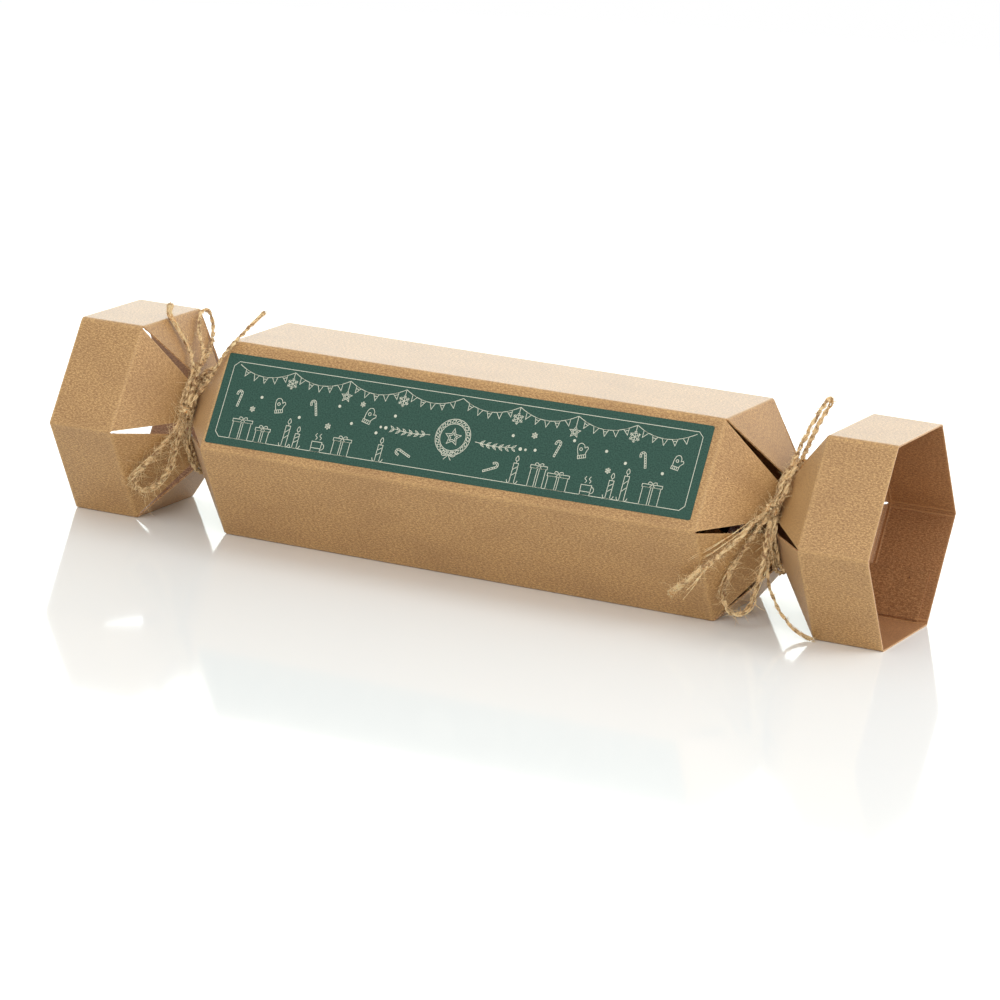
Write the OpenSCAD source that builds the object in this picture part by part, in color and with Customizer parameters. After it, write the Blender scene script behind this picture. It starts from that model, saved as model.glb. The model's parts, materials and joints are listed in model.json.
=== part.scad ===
// Christmas cracker gift box: a six-sided kraft board sleeve whose ends are
// pinched to a neck, tied with twine in a bow, and flare out again to an open ring.
// The sleeve lies along X, rests on a flat panel at z = 0 and is centred on the origin.
// The board is one creased blank; its panels, petals and flaps are named by their place.

/* [Board] */
// Thickness of the kraft board
board_t = 0.7; // [0.4:0.05:0.8]
// Outer radius of the folded corners between panels
corner_r = 1.2; // [1:0.1:3]
// Clear gap at the root of the slit between two petals
slit_gap = 0.1; // [0.05:0.05:0.5]
// Width of the seam where the blank's last panel meets its fold
seam_gap = 0.4; // [0.2:0.1:1]

/* [Sleeve] */
// Outer width of each of the six panels
panel_w = 52; // [46:1:64]
// Length of the straight middle of the box
body_len = 243; // [236:1:300]
// Length of each open end ring
ring_len = 32; // [15:1:50]

/* [Pinched necks] */
// Length along the axis of one petal, from its crease to the neck fold
petal_len = 23.5; // [20:0.5:30]
// Distance from the axis to the outer face of the neck fold
neck_apothem = 18.7; // [17:0.1:24]
// Width of a petal at the neck fold
petal_neck_w = 14; // [10:0.5:16]

/* [Glue flaps] */
// Width of the glued flap under the rear lower panel
flap_w = 22; // [10:1:30]
// Distance by which a flap stops short of the edge of its panel
flap_inset = 4.5; // [1:0.5:8]

/* [Label] */
// Height of the printed label across its panel
label_w = 43; // [20:1:44]
// Thickness of the label paper
label_t = 0.15; // [0.1:0.05:0.4]
// Distance from the upper crease of the panel to the label
label_drop = 4.8; // [3:0.1:6]
// Distance from the left crease of the body to the label
label_left = 1.1; // [0.8:0.1:10]
// Distance from the right crease of the body to the label
label_right = 3.9; // [0.8:0.1:10]
// Angle by which the label was stuck on askew
label_tilt = 0.4; // [0:0.1:0.6]

/* [Twine] */
// Diameter of the jute twine
twine_d = 2; // [1:0.1:2.2]
// Turns of twine round each neck
wrap_turns = 3; // [2:1:4]
// Clear space between strands that lie side by side
strand_gap = 0.45; // [0.42:0.01:0.8]
// Clearance between the twine and the board
twine_clear = 0.25; // [0.1:0.05:0.5]
// Distance of the knot from the middle of its petal
knot_drop = 4.5; // [2:0.5:5]
// Length of the knot along the neck
knot_len = 7.2; // [6:0.1:9]
// Width of the knot along the box
knot_w = 6.4; // [5:0.1:8]
// Height of the knot off the neck
knot_h = 5.4; // [4:0.1:7]

/* [Sweets] */
// Diameter of the round body of a wrapped sweet
sweet_d = 27; // [20:0.5:28]
// Length of a wrapped sweet over its twisted ends
sweet_len = 57; // [44:1:58]
// Diameter of the tightest place of a twist
twist_d = 5; // [3:0.5:7]
// Diameter of the fanned end of a twist
fan_d = 19; // [12:1:22]
// Gap at which loose sweets and board lie against each other
rest_gap = 0.15; // [0.1:0.05:0.3]
// Least room along the box between one sweet and the next
sweet_room = 1; // [0.3:0.1:5]

/* [Hidden] */
PANELS = ["top", "front_up", "front_low", "bottom", "rear_low", "rear_up"];
SIDES = ["left", "right"];
ROWS = ["front", "rear", "upper"];
// As many sweets lie in a row as the box has room for
sweets_in_row = floor(body_len / (sweet_len + sweet_room));
PETAL_NODES = [for (s = SIDES, k = ["body", "ring"], p = PANELS) str(s, "_", k, "_petal_", p)];
RING_NODES = [for (s = SIDES) each [str(s, "_ring"), str(s, "_ring_flap")]];
TWINE_NODES = [for (s = SIDES) each [str(s, "_twine_wrap"), str(s, "_bow_knot"),
    str(s, "_bow_upper_loop"), str(s, "_bow_lower_loop"), str(s, "_twine_end_a"), str(s, "_twine_end_b")]];
SWEET_NODES = [for (r = ROWS, i = [1:sweets_in_row]) str("sweet_", r, "_", i)];

kraft = "burlywood";
kraft_dark = "peru";
label_green = "darkslategray";
jute = "tan";
gold = "goldenrod";
brown = "saddlebrown";

// Angle from one panel to the next, and of the top panel's outward normal
turn = 60;
top_angle = 90;
// Distance from the axis to the outer face of a panel; the axis lies this high
apothem = panel_w * cos(turn / 2);
neck_x = body_len / 2 + petal_len;
ring_x = body_len / 2 + 2 * petal_len;
petal_slant = norm([petal_len, apothem - neck_apothem]);
// The board cut by a plane square to the axis is this thick where it slopes
sloped_t = board_t * petal_slant / petal_len;
// The neighbouring petals' inner faces meet this far in from the panel's edge
petal_inset = sloped_t * tan(turn / 2) + slit_gap;
// Distance by which a cutting shape reaches past what it cuts
cut = board_t;
// Steps of the rounding at a folded corner
corner_steps = 4;

function unit(a) = [cos(a), sin(a)];

// Outline of the six-sided sleeve at a distance from the axis, with rounded corners
function hexagon(a, r) = [for (k = [0:5], j = [0:corner_steps])
    (a - r) / cos(turn / 2) * unit(turn * k) + r * unit(turn * (k - 0.5 + j / corner_steps))];

// Places its children in the frame of a panel: X along the box, Z out of the panel
module on_panel(p) {
    translate([0, 0, apothem]) rotate([turn * p, 0, 0]) children();
}

// Extrudes an outline in the plane across the box along X, from x to x + len
module along_x(x, len) {
    translate([x, 0, apothem]) rotate([90, 0, 90]) linear_extrude(len) children();
}

module hex_tube(x, len) {
    difference() {
        along_x(x, len) polygon(hexagon(apothem, corner_r));
        along_x(x - cut, len + 2 * cut) polygon(hexagon(apothem - board_t, corner_r - board_t));
        // the seam, just above the fold of the bottom panel
        on_panel(4) translate([x - cut, panel_w / 2 - corner_r - seam_gap, apothem - board_t - cut])
            cube([len + 2 * cut, seam_gap, board_t + 2 * cut]);
    }
}

// A strip glued to the inside of the rear lower panel, from the fold upwards
module glue_flap(x, len) {
    on_panel(4) translate([x, panel_w / 2 - corner_r - flap_w, apothem - 2 * board_t])
        cube([len, flap_w, board_t]);
}

module side(s) {
    mirror([s == "left" ? 1 : 0, 0, 0]) children();
}

module body_sleeve() {
    color(kraft) hex_tube(-body_len / 2, body_len);
}

module body_flap() {
    color(kraft_dark) glue_flap(flap_inset - body_len / 2, body_len - 2 * flap_inset);
}

module ring(s) {
    color(kraft) side(s) hex_tube(ring_x, ring_len);
}

module ring_flap(s) {
    color(kraft_dark) side(s) glue_flap(ring_x, ring_len - flap_inset);
}

// A petal from the crease at x to the neck fold: its slope seen from the side, cut to its outline
module petal(s, x, p) {
    color(kraft) side(s) on_panel(p) intersection() {
        translate([0, panel_w / 2, 0]) rotate([90, 0, 0]) linear_extrude(panel_w)
            polygon([[x, apothem], [neck_x, neck_apothem],
                [neck_x, neck_apothem - sloped_t], [x, apothem - sloped_t]]);
        linear_extrude(apothem + cut)
            polygon([[x, panel_w / 2 - petal_inset], [neck_x, petal_neck_w / 2],
                [neck_x, -petal_neck_w / 2], [x, petal_inset - panel_w / 2]]);
    }
}

module label() {
    len = body_len - label_left - label_right;
    mid = (label_left - label_right) / 2;
    color(label_green) on_panel(1) translate([mid, panel_w / 2 - label_drop - label_w / 2, apothem])
        rotate([0, 0, label_tilt]) translate([-len / 2, -label_w / 2, 0]) cube([len, label_w, label_t]);
}

// A tube swept along points, with its ring of sides turned from a reference direction
function along(p, i) = let(d = p[min(i + 1, len(p) - 1)] - p[max(i - 1, 0)]) d / norm(d);
function across(t, ref) = let(c = cross(t, ref)) c / norm(c);
module tube(p, d, sides, ref) {
    n = len(p);
    rings = [for (i = [0:n - 1], j = [0:sides - 1])
        let(t = along(p, i), u = across(t, ref), v = cross(u, t), a = 360 * j / sides)
        p[i] + d / 2 * (u * cos(a) + v * sin(a))];
    walls = [for (i = [0:n - 2], j = [0:sides - 1])
        let(a = i * sides + j, b = i * sides + (j + 1) % sides)
        each [[a, b, b + sides], [a, b + sides, a + sides]]];
    ends = [for (j = [1:sides - 2]) each [[0, j + 1, j],
        [(n - 1) * sides, (n - 1) * sides + j, (n - 1) * sides + j + 1]]];
    polyhedron(rings, concat(walls, ends), convexity = 6);
}

// The winding: turns that lie twisted round each other in the groove of the neck
strand_step = twine_d + strand_gap;
bundle_r = strand_step / (2 * sin(180 / wrap_turns));
bundle_h = (bundle_r + twine_d / 2 + twine_clear) * petal_slant / petal_len;
wrap_sides = 6;
places = 24;
// A taut strand bends at both corners of each petal's neck edge, in two steps each
function neck_place(i, h) = let(q = i % 4, a = turn * floor(i / 4))
    neck_apothem * unit(a) + (q < 2 ? -1 : 1) * petal_neck_w / 2 * unit(a + 90)
    + h * unit(a + [-turn / 2, 0, 0, turn / 2][q]);
// The strand's place across the bundle after a share f of the whole winding
function bundle_x(f) = bundle_r * cos(90 + 360 * f);
function bundle_z(f) = bundle_h + bundle_r * sin(90 + 360 * f);
knot_petal = top_angle + turn;
function rotated(v, a) = [v[0] * cos(a) - v[1] * sin(a), v[0] * sin(a) + v[1] * cos(a)];
function wrap_end(w) = let(v = (neck_apothem + bundle_z(0)) * unit(knot_petal) + w * unit(knot_petal + 90))
    [neck_x + bundle_x(0), v[0], v[1] + apothem];
wrap_path = concat([wrap_end(knot_drop + strand_step / 2)],
    [for (i = [0:places * wrap_turns - 1]) let(f = (i + 0.5) / (places * wrap_turns),
        v = rotated(neck_place((i + 2) % places, bundle_z(f)), knot_petal))
        [neck_x + bundle_x(f), v[0], v[1] + apothem]],
    [wrap_end(knot_drop - strand_step / 2)]);
wrap_gap = min([for (i = [0:len(wrap_path) - 1], j = [i + places / 2:1:len(wrap_path) - 1])
    norm(wrap_path[i] - wrap_path[j])]) - twine_d;
echo(least_gap_of_the_winding = wrap_gap);

module twine_wrap(s) {
    color(jute) side(s) tube(wrap_path, twine_d, wrap_sides, [1, 0, 0]);
}

// The knot: a rounded lump with the ridges of the strands that cross over it
knot_rows = 8;
knot_sides = 16;
knot_strands = 3;
knot_ridge_share = 0.07;
module bow_knot(s) {
    lie = bundle_z(1 / wrap_turns) + twine_d / 2 + strand_gap + knot_h / 2;
    size = [knot_w, knot_len, knot_h] / 2;
    ridged = [for (i = [1:knot_rows - 1], j = [0:knot_sides - 1])
        let(a = 180 * i / knot_rows, b = 360 * j / knot_sides,
            g = 1 + knot_ridge_share * cos(knot_strands * (b + a)))
        [for (c = [0:2]) size[c] * g * [sin(a) * cos(b), cos(a), sin(a) * sin(b)][c]]];
    points = concat([[0, size[1], 0]], ridged, [[0, -size[1], 0]]);
    last = len(points) - 1;
    mid = [for (i = [0:knot_rows - 3], j = [0:knot_sides - 1])
        let(a = 1 + i * knot_sides + j, b = 1 + i * knot_sides + (j + 1) % knot_sides)
        each [[a, a + knot_sides, b + knot_sides], [a, b + knot_sides, b]]];
    caps = [for (j = [0:knot_sides - 1]) let(k = (j + 1) % knot_sides) each [[0, 1 + j, 1 + k],
        [last, last - knot_sides + k, last - knot_sides + j]]];
    color(jute) side(s) on_panel(1) translate([neck_x, -knot_drop, neck_apothem + lie])
        polyhedron(points, concat(mid, caps), convexity = 4);
}

// Routes of the bows' loops and of the twine's two ends, from the knot outwards
ROUTES = [
    ["left_bow_upper_loop", [1, 0, 0], [[-143.4, -25.2, 57], [-143.4, -21.6, 64.6],
        [-144.6, -14.8, 71.4], [-147.5, -6, 76], [-152.5, 1, 79],
        [-158, 8, 82.5], [-162.5, 15.5, 87], [-165, 22, 90],
        [-164.5, 26.5, 89.5], [-161.5, 26, 85], [-157, 18.5, 80], [-152.5, 8.5, 75],
        [-149.5, -2, 72.4], [-148.2, -12, 69.5], [-148, -20, 63], [-147.4, -24.8, 57]]],
    ["left_bow_lower_loop", [0, 1, 0], [[-146, -27, 51], [-148, -29, 45], [-151.5, -31.5, 39.5],
        [-156.5, -34.5, 32], [-161, -37, 25.5], [-163.5, -38, 21], [-163, -36.5, 17.5], [-160, -33, 16],
        [-155.5, -29, 19], [-151, -28, 25.5], [-148, -28, 34], [-146, -28, 42.5], [-144.4, -27.2, 50]]],
    ["left_twine_end_a", [0, 1, 0], [[-145.3, -25, 57], [-145.8, -21.8, 64], [-147.2, -15.8, 70.4],
        [-150.5, -11, 74.8], [-154.5, -7, 78.2], [-160.5, -4.5, 84], [-164.5, -3.5, 88.2], [-168, -3, 92],
        [-170, 1, 95]]],
    ["left_twine_end_b", [0, 1, 0], [[-142, -26, 56.5], [-140, -25.5, 60.5], [-136.5, -25, 65.5],
        [-129, -27.5, 75.5], [-123.5, -30, 83.5], [-120, -30.5, 88], [-117.5, -28.5, 91.5],
        [-117, -18, 96], [-116.5, -6, 100.5]]],
    ["right_bow_upper_loop", [1, 0, 0], [[145.6, -25.2, 57], [147.4, -22.6, 63], [148, -16.8, 68.8],
        [147.6, -8, 74.6], [147.8, 2, 82], [149, 10, 89.5], [150, 17.5, 94.5], [150, 22.5, 94.5],
        [148.8, 25, 91.5], [147.5, 20, 86.5], [147, 11.5, 79.8], [148.2, -2, 72.6], [149.2, -12.4, 70.4],
        [149.8, -20, 65.4], [149.4, -24, 60], [147.8, -25.4, 56.5]]],
    ["right_bow_lower_loop", [0, 1, 0], [[144.4, -27, 50.5], [142, -29.5, 47], [137.5, -31, 39],
        [132.5, -32, 29], [129, -32, 20], [128, -31.5, 12.5], [130.5, -31, 7.5], [135.5, -31, 7],
        [140, -31, 11], [142.5, -31, 19.5], [145, -31, 31], [145.6, -30.2, 41.5], [145.8, -28.6, 49.5]]],
    ["right_twine_end_a", [0, 1, 0], [[143, -26.6, 53], [139.5, -31.5, 48], [135.5, -36, 42],
        [131.5, -40, 37], [127.5, -43, 32.5], [123, -45, 28.5], [117, -44.5, 22.5], [108, -42, 14.5]]],
    ["right_twine_end_b", [0, 1, 0], [[147.2, -26.2, 50.5], [146.2, -27, 41], [145.6, -27.4, 32],
        [146.8, -27.8, 22], [149.5, -28, 16], [154, -28.5, 9.5], [160.5, -29, 4], [166.5, -29.2, 1.5],
        [169.5, -29.4, 1.1]]]
];
cord_sides = 8;

module free_twine(route) {
    color(jute) tube(route[2], twine_d, cord_sides, route[1]);
}

// A wrapped sweet: a ball whose pleated wrapper is twisted and fanned out at both ends
sweet_sides = 16;
pleat_share = 0.16;
// Shares of the wrapper's free length beyond the ball: where it closes on the twist,
// where it is tightest, where it opens into the fan, and how far the fan's middle is drawn in
close_share = 0.12;
tight_share = 0.33;
open_share = 0.67;
hub_share = 0.17;
// Pleats on the twist are this shallow beside those of the fan
twist_pleat = 0.5;
fan_root_d = 2 / 3 * fan_d;
// Angle by which each sweet of a row is rolled beyond the one before it
sweet_roll = 18;
// Each row of the half outline: distance from the middle, radius, share of the pleats
module sweet(x, y, z, roll, shade) {
    r = sweet_d / 2;
    tip = sweet_len / 2;
    out = tip - r;
    half = [[0, r, 0], [r * sin(30), r * cos(30), 0], [r * sin(60), r * cos(60), 0],
        [r + close_share * out, twist_d / 2 + close_share * out, twist_pleat],
        [r + tight_share * out, twist_d / 2, twist_pleat],
        [r + open_share * out, fan_root_d / 2, 1], [tip, fan_d / 2, 1]];
    count = len(half);
    rows = [for (i = [-(count - 1):count - 1]) let(h = half[abs(i)]) [sign(i) * h[0], h[1], h[2]]];
    skin = [for (row = rows, j = [0:sweet_sides - 1])
        let(g = row[1] * (1 + pleat_share * row[2] * (j % 2 == 0 ? 1 : -1)), a = 360 * j / sweet_sides)
        [row[0], g * cos(a), g * sin(a)]];
    last = len(rows) - 1;
    walls = [for (i = [0:last - 1], j = [0:sweet_sides - 1])
        let(a = i * sweet_sides + j, b = i * sweet_sides + (j + 1) % sweet_sides)
        each [[a, a + sweet_sides, b + sweet_sides], [a, b + sweet_sides, b]]];
    hub = tip - hub_share * out;
    hubs = [[-hub, 0, 0], [hub, 0, 0]];
    n = len(skin);
    caps = [for (j = [0:sweet_sides - 1]) let(k = (j + 1) % sweet_sides)
        each [[n, j, k], [n + 1, last * sweet_sides + k, last * sweet_sides + j]]];
    color(shade) translate([x, y, z]) rotate([roll, 0, 0])
        polyhedron(concat(skin, hubs), concat(walls, caps), convexity = 6);
}

// The two lower rows lie side by side on the bottom panel, the upper row in the valley between them
sweet_y = (sweet_d + rest_gap) / 2;
sweet_z = board_t + rest_gap + sweet_d / 2;
upper_z = sweet_z + sqrt(pow(sweet_d + rest_gap, 2) - pow(sweet_y, 2));
sweet_pitch = body_len / sweets_in_row;
ROW_PLACES = [[-sweet_y, sweet_z], [sweet_y, sweet_z], [0, upper_z]];

body_sleeve();
body_flap();
label();
for (s = SIDES) {
    ring(s);
    ring_flap(s);
    for (p = [0:5]) {
        petal(s, body_len / 2, p);
        petal(s, ring_x, p);
    }
    twine_wrap(s);
    bow_knot(s);
}
for (route = ROUTES) {
    free_twine(route);
}
for (r = [0:2], i = [1:sweets_in_row]) {
    sweet((i - (sweets_in_row + 1) / 2) * sweet_pitch, ROW_PLACES[r][0], ROW_PLACES[r][1],
            sweet_roll * i, (i + r) % 2 == 0 ? brown : gold);
}
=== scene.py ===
import json
import math

import bmesh
import bpy
import numpy as np
from mathutils import Matrix, Vector


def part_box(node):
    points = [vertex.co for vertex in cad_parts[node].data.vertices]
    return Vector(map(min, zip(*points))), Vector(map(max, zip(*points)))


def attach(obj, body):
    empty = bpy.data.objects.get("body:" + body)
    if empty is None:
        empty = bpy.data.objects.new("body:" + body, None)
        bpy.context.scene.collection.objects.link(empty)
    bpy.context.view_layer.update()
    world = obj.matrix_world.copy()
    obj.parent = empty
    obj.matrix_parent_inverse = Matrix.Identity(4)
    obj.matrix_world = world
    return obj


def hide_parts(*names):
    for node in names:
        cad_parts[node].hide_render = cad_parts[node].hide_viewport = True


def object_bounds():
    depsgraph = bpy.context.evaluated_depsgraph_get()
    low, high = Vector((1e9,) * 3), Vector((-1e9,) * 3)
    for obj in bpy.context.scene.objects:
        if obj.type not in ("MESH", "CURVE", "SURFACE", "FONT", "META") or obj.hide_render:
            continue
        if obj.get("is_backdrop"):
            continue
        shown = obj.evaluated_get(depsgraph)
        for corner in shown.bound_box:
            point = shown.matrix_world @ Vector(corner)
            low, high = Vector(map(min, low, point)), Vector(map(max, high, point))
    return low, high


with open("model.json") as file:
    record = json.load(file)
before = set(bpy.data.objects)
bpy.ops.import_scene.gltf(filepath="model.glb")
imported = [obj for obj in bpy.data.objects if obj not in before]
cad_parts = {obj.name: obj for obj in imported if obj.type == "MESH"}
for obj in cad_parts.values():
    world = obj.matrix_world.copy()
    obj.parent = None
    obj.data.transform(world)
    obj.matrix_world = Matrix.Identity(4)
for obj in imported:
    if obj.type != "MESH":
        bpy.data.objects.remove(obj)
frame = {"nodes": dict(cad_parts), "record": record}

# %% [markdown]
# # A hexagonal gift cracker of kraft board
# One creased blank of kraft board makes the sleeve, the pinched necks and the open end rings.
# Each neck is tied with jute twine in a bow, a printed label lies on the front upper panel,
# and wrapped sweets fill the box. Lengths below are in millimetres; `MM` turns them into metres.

MM = 0.001
cad_low, cad_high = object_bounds()
LOW_MM, HIGH_MM = np.array(cad_low) / MM, np.array(cad_high) / MM
SLEEVE_LOW, SLEEVE_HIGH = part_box("body_sleeve")
BODY_HALF = SLEEVE_HIGH.x / MM
APOTHEM = (SLEEVE_HIGH.z - SLEEVE_LOW.z) / 2 / MM
RING_IN, RING_OUT = (corner.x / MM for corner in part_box("right_ring"))
NECK_X = (BODY_HALF + RING_IN) / 2
NECK_APOTHEM = 18.7
NECK_W = 14.0
BOARD_T = 0.7
TWINE_D = 2.0
PANELS = ["top", "front_up", "front_low", "bottom", "rear_low", "rear_up"]
SIDES = {"left": -1, "right": 1}
print(f"body half {BODY_HALF:.2f}, apothem {APOTHEM:.3f}, neck {NECK_X:.2f}, "
      f"ring {RING_IN:.2f} to {RING_OUT:.2f} mm")

# %% [markdown]
# ## Camera
# The photograph was taken from far off with a long lens, a little above the table and rolled by
# three degrees. A camera can be given Euler angles, but a matrix built from its three directions
# keeps azimuth, elevation and roll apart, and needs no shift.

# %% Camera, at the photograph's viewing angle
AZIMUTH, ELEVATION, ROLL = (math.radians(a) for a in (25.678, 14.034, 3.059))
EYE = Vector((839.68, -1738.47, 512.66)) * MM
SENSOR_W = 36.0
FOCAL_SHARE = 4.448373
CLIP_NEAR, CLIP_FAR = 0.1, 30


def make_camera():
    """A camera whose frame is turned by azimuth, elevation and roll."""
    back = Vector((math.sin(AZIMUTH) * math.cos(ELEVATION),
                   -math.cos(AZIMUTH) * math.cos(ELEVATION), math.sin(ELEVATION)))
    right = (-back).cross(Vector((0, 0, 1))).normalized()
    up = right.cross(-back)
    turned = (math.cos(ROLL) * right + math.sin(ROLL) * up,
              -math.sin(ROLL) * right + math.cos(ROLL) * up, back)
    data = bpy.data.cameras.new("camera")
    data.sensor_width = SENSOR_W
    data.lens = FOCAL_SHARE * SENSOR_W
    data.clip_start, data.clip_end = CLIP_NEAR, CLIP_FAR
    camera = bpy.data.objects.new("camera", data)
    basis = Matrix(turned).transposed().to_4x4()
    basis.translation = EYE
    camera.matrix_world = basis
    bpy.context.scene.collection.objects.link(camera)
    bpy.context.scene.camera = camera
    print(f"camera {EYE.length:.2f} m away, lens {data.lens:.1f} mm")


make_camera()
bpy.context.scene.view_settings.view_transform = "Standard"


# %% [markdown]
# ## Helpers for node trees
# Materials here are node trees. Each node needs its type, its settings, its values and its links,
# which takes four or five lines when it is written out. A small class with short words puts each
# node on one line, so that a tree reads from top to bottom.

# %% Words for building a node tree
class Nodes:
    """A few short words for building a node tree."""

    def __init__(self, tree):
        self.tree = tree

    def feed(self, socket, value):
        """Link a socket to another one, or give it a plain value."""
        if isinstance(value, bpy.types.NodeSocket):
            self.tree.links.new(value, socket)
        else:
            socket.default_value = value

    def add(self, kind, values=(), **settings):
        """A new node with its settings, and with its inputs fed by name or number."""
        node = self.tree.nodes.new(kind)
        for key, value in settings.items():
            setattr(node, key, value)
        for key, value in dict(values).items():
            self.feed(node.inputs[key], value)
        return node

    def noise(self, vector, scale, detail, rough=0.5):
        """Soft noise from 0 to 1, mostly near 0.5."""
        return self.add("ShaderNodeTexNoise", {"Vector": vector, "Scale": scale,
                        "Detail": detail, "Roughness": rough}).outputs["Fac"]

    def maths(self, operation, a, b):
        """One value worked out of two."""
        return self.add("ShaderNodeMath", {0: a, 1: b}, operation=operation).outputs[0]

    def span(self, value, low, high, to_low=0.0, to_high=1.0):
        """A value from low to high, mapped to a new range and held inside it."""
        return self.add("ShaderNodeMapRange", {"Value": value, "From Min": low, "From Max": high,
                        "To Min": to_low, "To Max": to_high}, clamp=True).outputs[0]

    def blend(self, share, a, b, mode="MIX"):
        """Colour a where the share is 0, colour b where it is 1."""
        node = self.add("ShaderNodeMix", {0: share, 6: a, 7: b}, data_type="RGBA", blend_type=mode)
        return node.outputs[2]

    def scaled(self, vector, factors, turn=0.0):
        """A pattern's coordinates, turned in their plane and stretched along each axis."""
        return self.add("ShaderNodeMapping", {"Vector": vector, "Rotation": (0, 0, turn),
                        "Scale": factors}).outputs[0]

    def object_mm(self):
        """Object coordinates in millimetres."""
        return self.scaled(self.add("ShaderNodeTexCoord").outputs["Object"], (1 / MM,) * 3)


# %% Colours, groups and materials
def rgb(red, green, blue):
    """A colour written as sRGB from 0 to 255, as linear values."""
    def line(c):
        c = c / 255
        return c / 12.92 if c <= 0.04045 else ((c + 0.055) / 1.055) ** 2.4
    return (line(red), line(green), line(blue), 1.0)


def new_group(name, inputs, outputs):
    """An empty shader node group with the given sockets."""
    group = bpy.data.node_groups.new(name, "ShaderNodeTree")
    for key, kind in inputs.items():
        group.interface.new_socket(key, in_out="INPUT", socket_type=kind)
    for key, kind in outputs.items():
        group.interface.new_socket(key, in_out="OUTPUT", socket_type=kind)
    n = Nodes(group)
    return n, n.add("NodeGroupInput").outputs, n.add("NodeGroupOutput").inputs


def new_material(name, **fixed):
    """A material with a Principled shader, whose fixed sockets are set by name."""
    material = bpy.data.materials.new(name)
    material.use_nodes = True
    shader = material.node_tree.nodes["Principled BSDF"]
    for key, value in fixed.items():
        shader.inputs[key.replace("_", " ")].default_value = value
    return material, Nodes(material.node_tree), shader.inputs


def placed_group(n, group, values):
    """A group's node in a material, with its values, and its outputs."""
    node = n.add("ShaderNodeGroup", node_tree=group)
    for key, value in values.items():
        n.feed(node.inputs[key], value)
    return node.outputs


def bump(n, height, strength, distance):
    """A normal bent by a height; distance is how high, in metres, a height of 1 stands."""
    return n.add("ShaderNodeBump", {"Height": height, "Strength": strength,
                 "Distance": distance}).outputs[0]


# %% [markdown]
# ## Helper for pieces
# Every new piece is shaped as a bmesh in metres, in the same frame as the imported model. A mesh
# could also be made near the origin and its object moved, but then a pattern on Object coordinates
# would move with it. So the place is in the mesh, the object stays at the origin, unturned, and
# rides on the model's one body.

# %% From a bmesh or a mesh to a piece of the object
def add_piece(name, shape, materials, sharp=None):
    """Make an object of a bmesh or mesh; edges bent by more than sharp degrees stay crisp."""
    mesh = shape
    if isinstance(shape, bmesh.types.BMesh):
        mesh = bpy.data.meshes.new(name)
        shape.to_mesh(mesh)
        shape.free()
    for material in materials:
        mesh.materials.append(material)
    mesh.shade_smooth()
    if sharp is not None:
        mesh.set_sharp_from_angle(angle=math.radians(sharp))
    piece = bpy.data.objects.new(name, mesh)
    bpy.context.scene.collection.objects.link(piece)
    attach(piece, "root")
    return piece


# %% [markdown]
# ## Jute
# Jute twine is two plies of coarse golden fibre, pale where the light catches it and brown
# between the plies, with hairs standing off all round. A flat colour would look like plastic
# cord, so fine noise is stretched along each strand, and broader noise darkens patches: partly
# the fibre's own uneven tone, partly painted shade that stands in for the shade between strands.

# %% The jute group and its two materials
def make_jute_group():
    """Colour and height of jute. Along follows a strand in mm, Place is the place in mm."""
    n, given, out = new_group("jute", {"Along": "NodeSocketVector", "Place": "NodeSocketVector",
                              "Dark": "NodeSocketFloat"},
                              {"Color": "NodeSocketColor", "Height": "NodeSocketFloat"})
    fibres = n.noise(n.scaled(given["Along"], (7.0, 0.32, 1.0)), 1.3, 3.0, 0.6)
    # Darker patches: partly the fibre's own tone, partly painted shade standing in for the shade
    # between strands
    tufts_and_shade = n.noise(given["Place"], 0.42, 3.0, 0.6)
    light = n.blend(n.span(fibres, 0.36, 0.56), rgb(206, 134, 62), rgb(255, 237, 188))
    share = n.maths("MULTIPLY", n.span(tufts_and_shade, 0.46, 0.62), given["Dark"])
    n.feed(out["Color"], n.blend(share, light, rgb(108, 52, 14)))
    n.feed(out["Height"], fibres)
    return n.tree


JUTE_GROUP = make_jute_group()
JUTE_RELIEF = 0.0002


def make_jute(name, dark):
    """Jute whose dark patches, fibre tone and painted shade between strands, are as strong as dark
    says, from 0 to 1.
    """
    material, n, shader = new_material(name, Roughness=0.85, Specular_IOR_Level=0.15)
    along = n.add("ShaderNodeUVMap", uv_map="flat").outputs[0]
    jute = placed_group(n, JUTE_GROUP, {"Along": along, "Place": n.object_mm(), "Dark": dark})
    n.feed(shader["Base Color"], jute["Color"])
    n.feed(shader["Normal"], bump(n, jute["Height"], 0.6, JUTE_RELIEF))
    return material


JUTE = make_jute("jute_twine", 0.75)
JUTE_FIBRE = make_jute("jute_fibre", 0.2)
print(f"jute: {len(JUTE_GROUP.nodes)} nodes in its group, 2 materials")


# %% [markdown]
# ## Twine: routes
# A cord is a smooth route first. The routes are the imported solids' own, as short lists of points.
# A Bezier curve would need a handle at each of them; a centripetal Catmull-Rom curve goes through
# them by itself and doesn't overshoot where they lie close. Frames are carried along the route
# without twist, so that what winds round it turns evenly.

# %% A smooth route and the frames along it
FINE_STEPS = 24
START_SIDE = [0.31, 0.17, 0.93]


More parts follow.
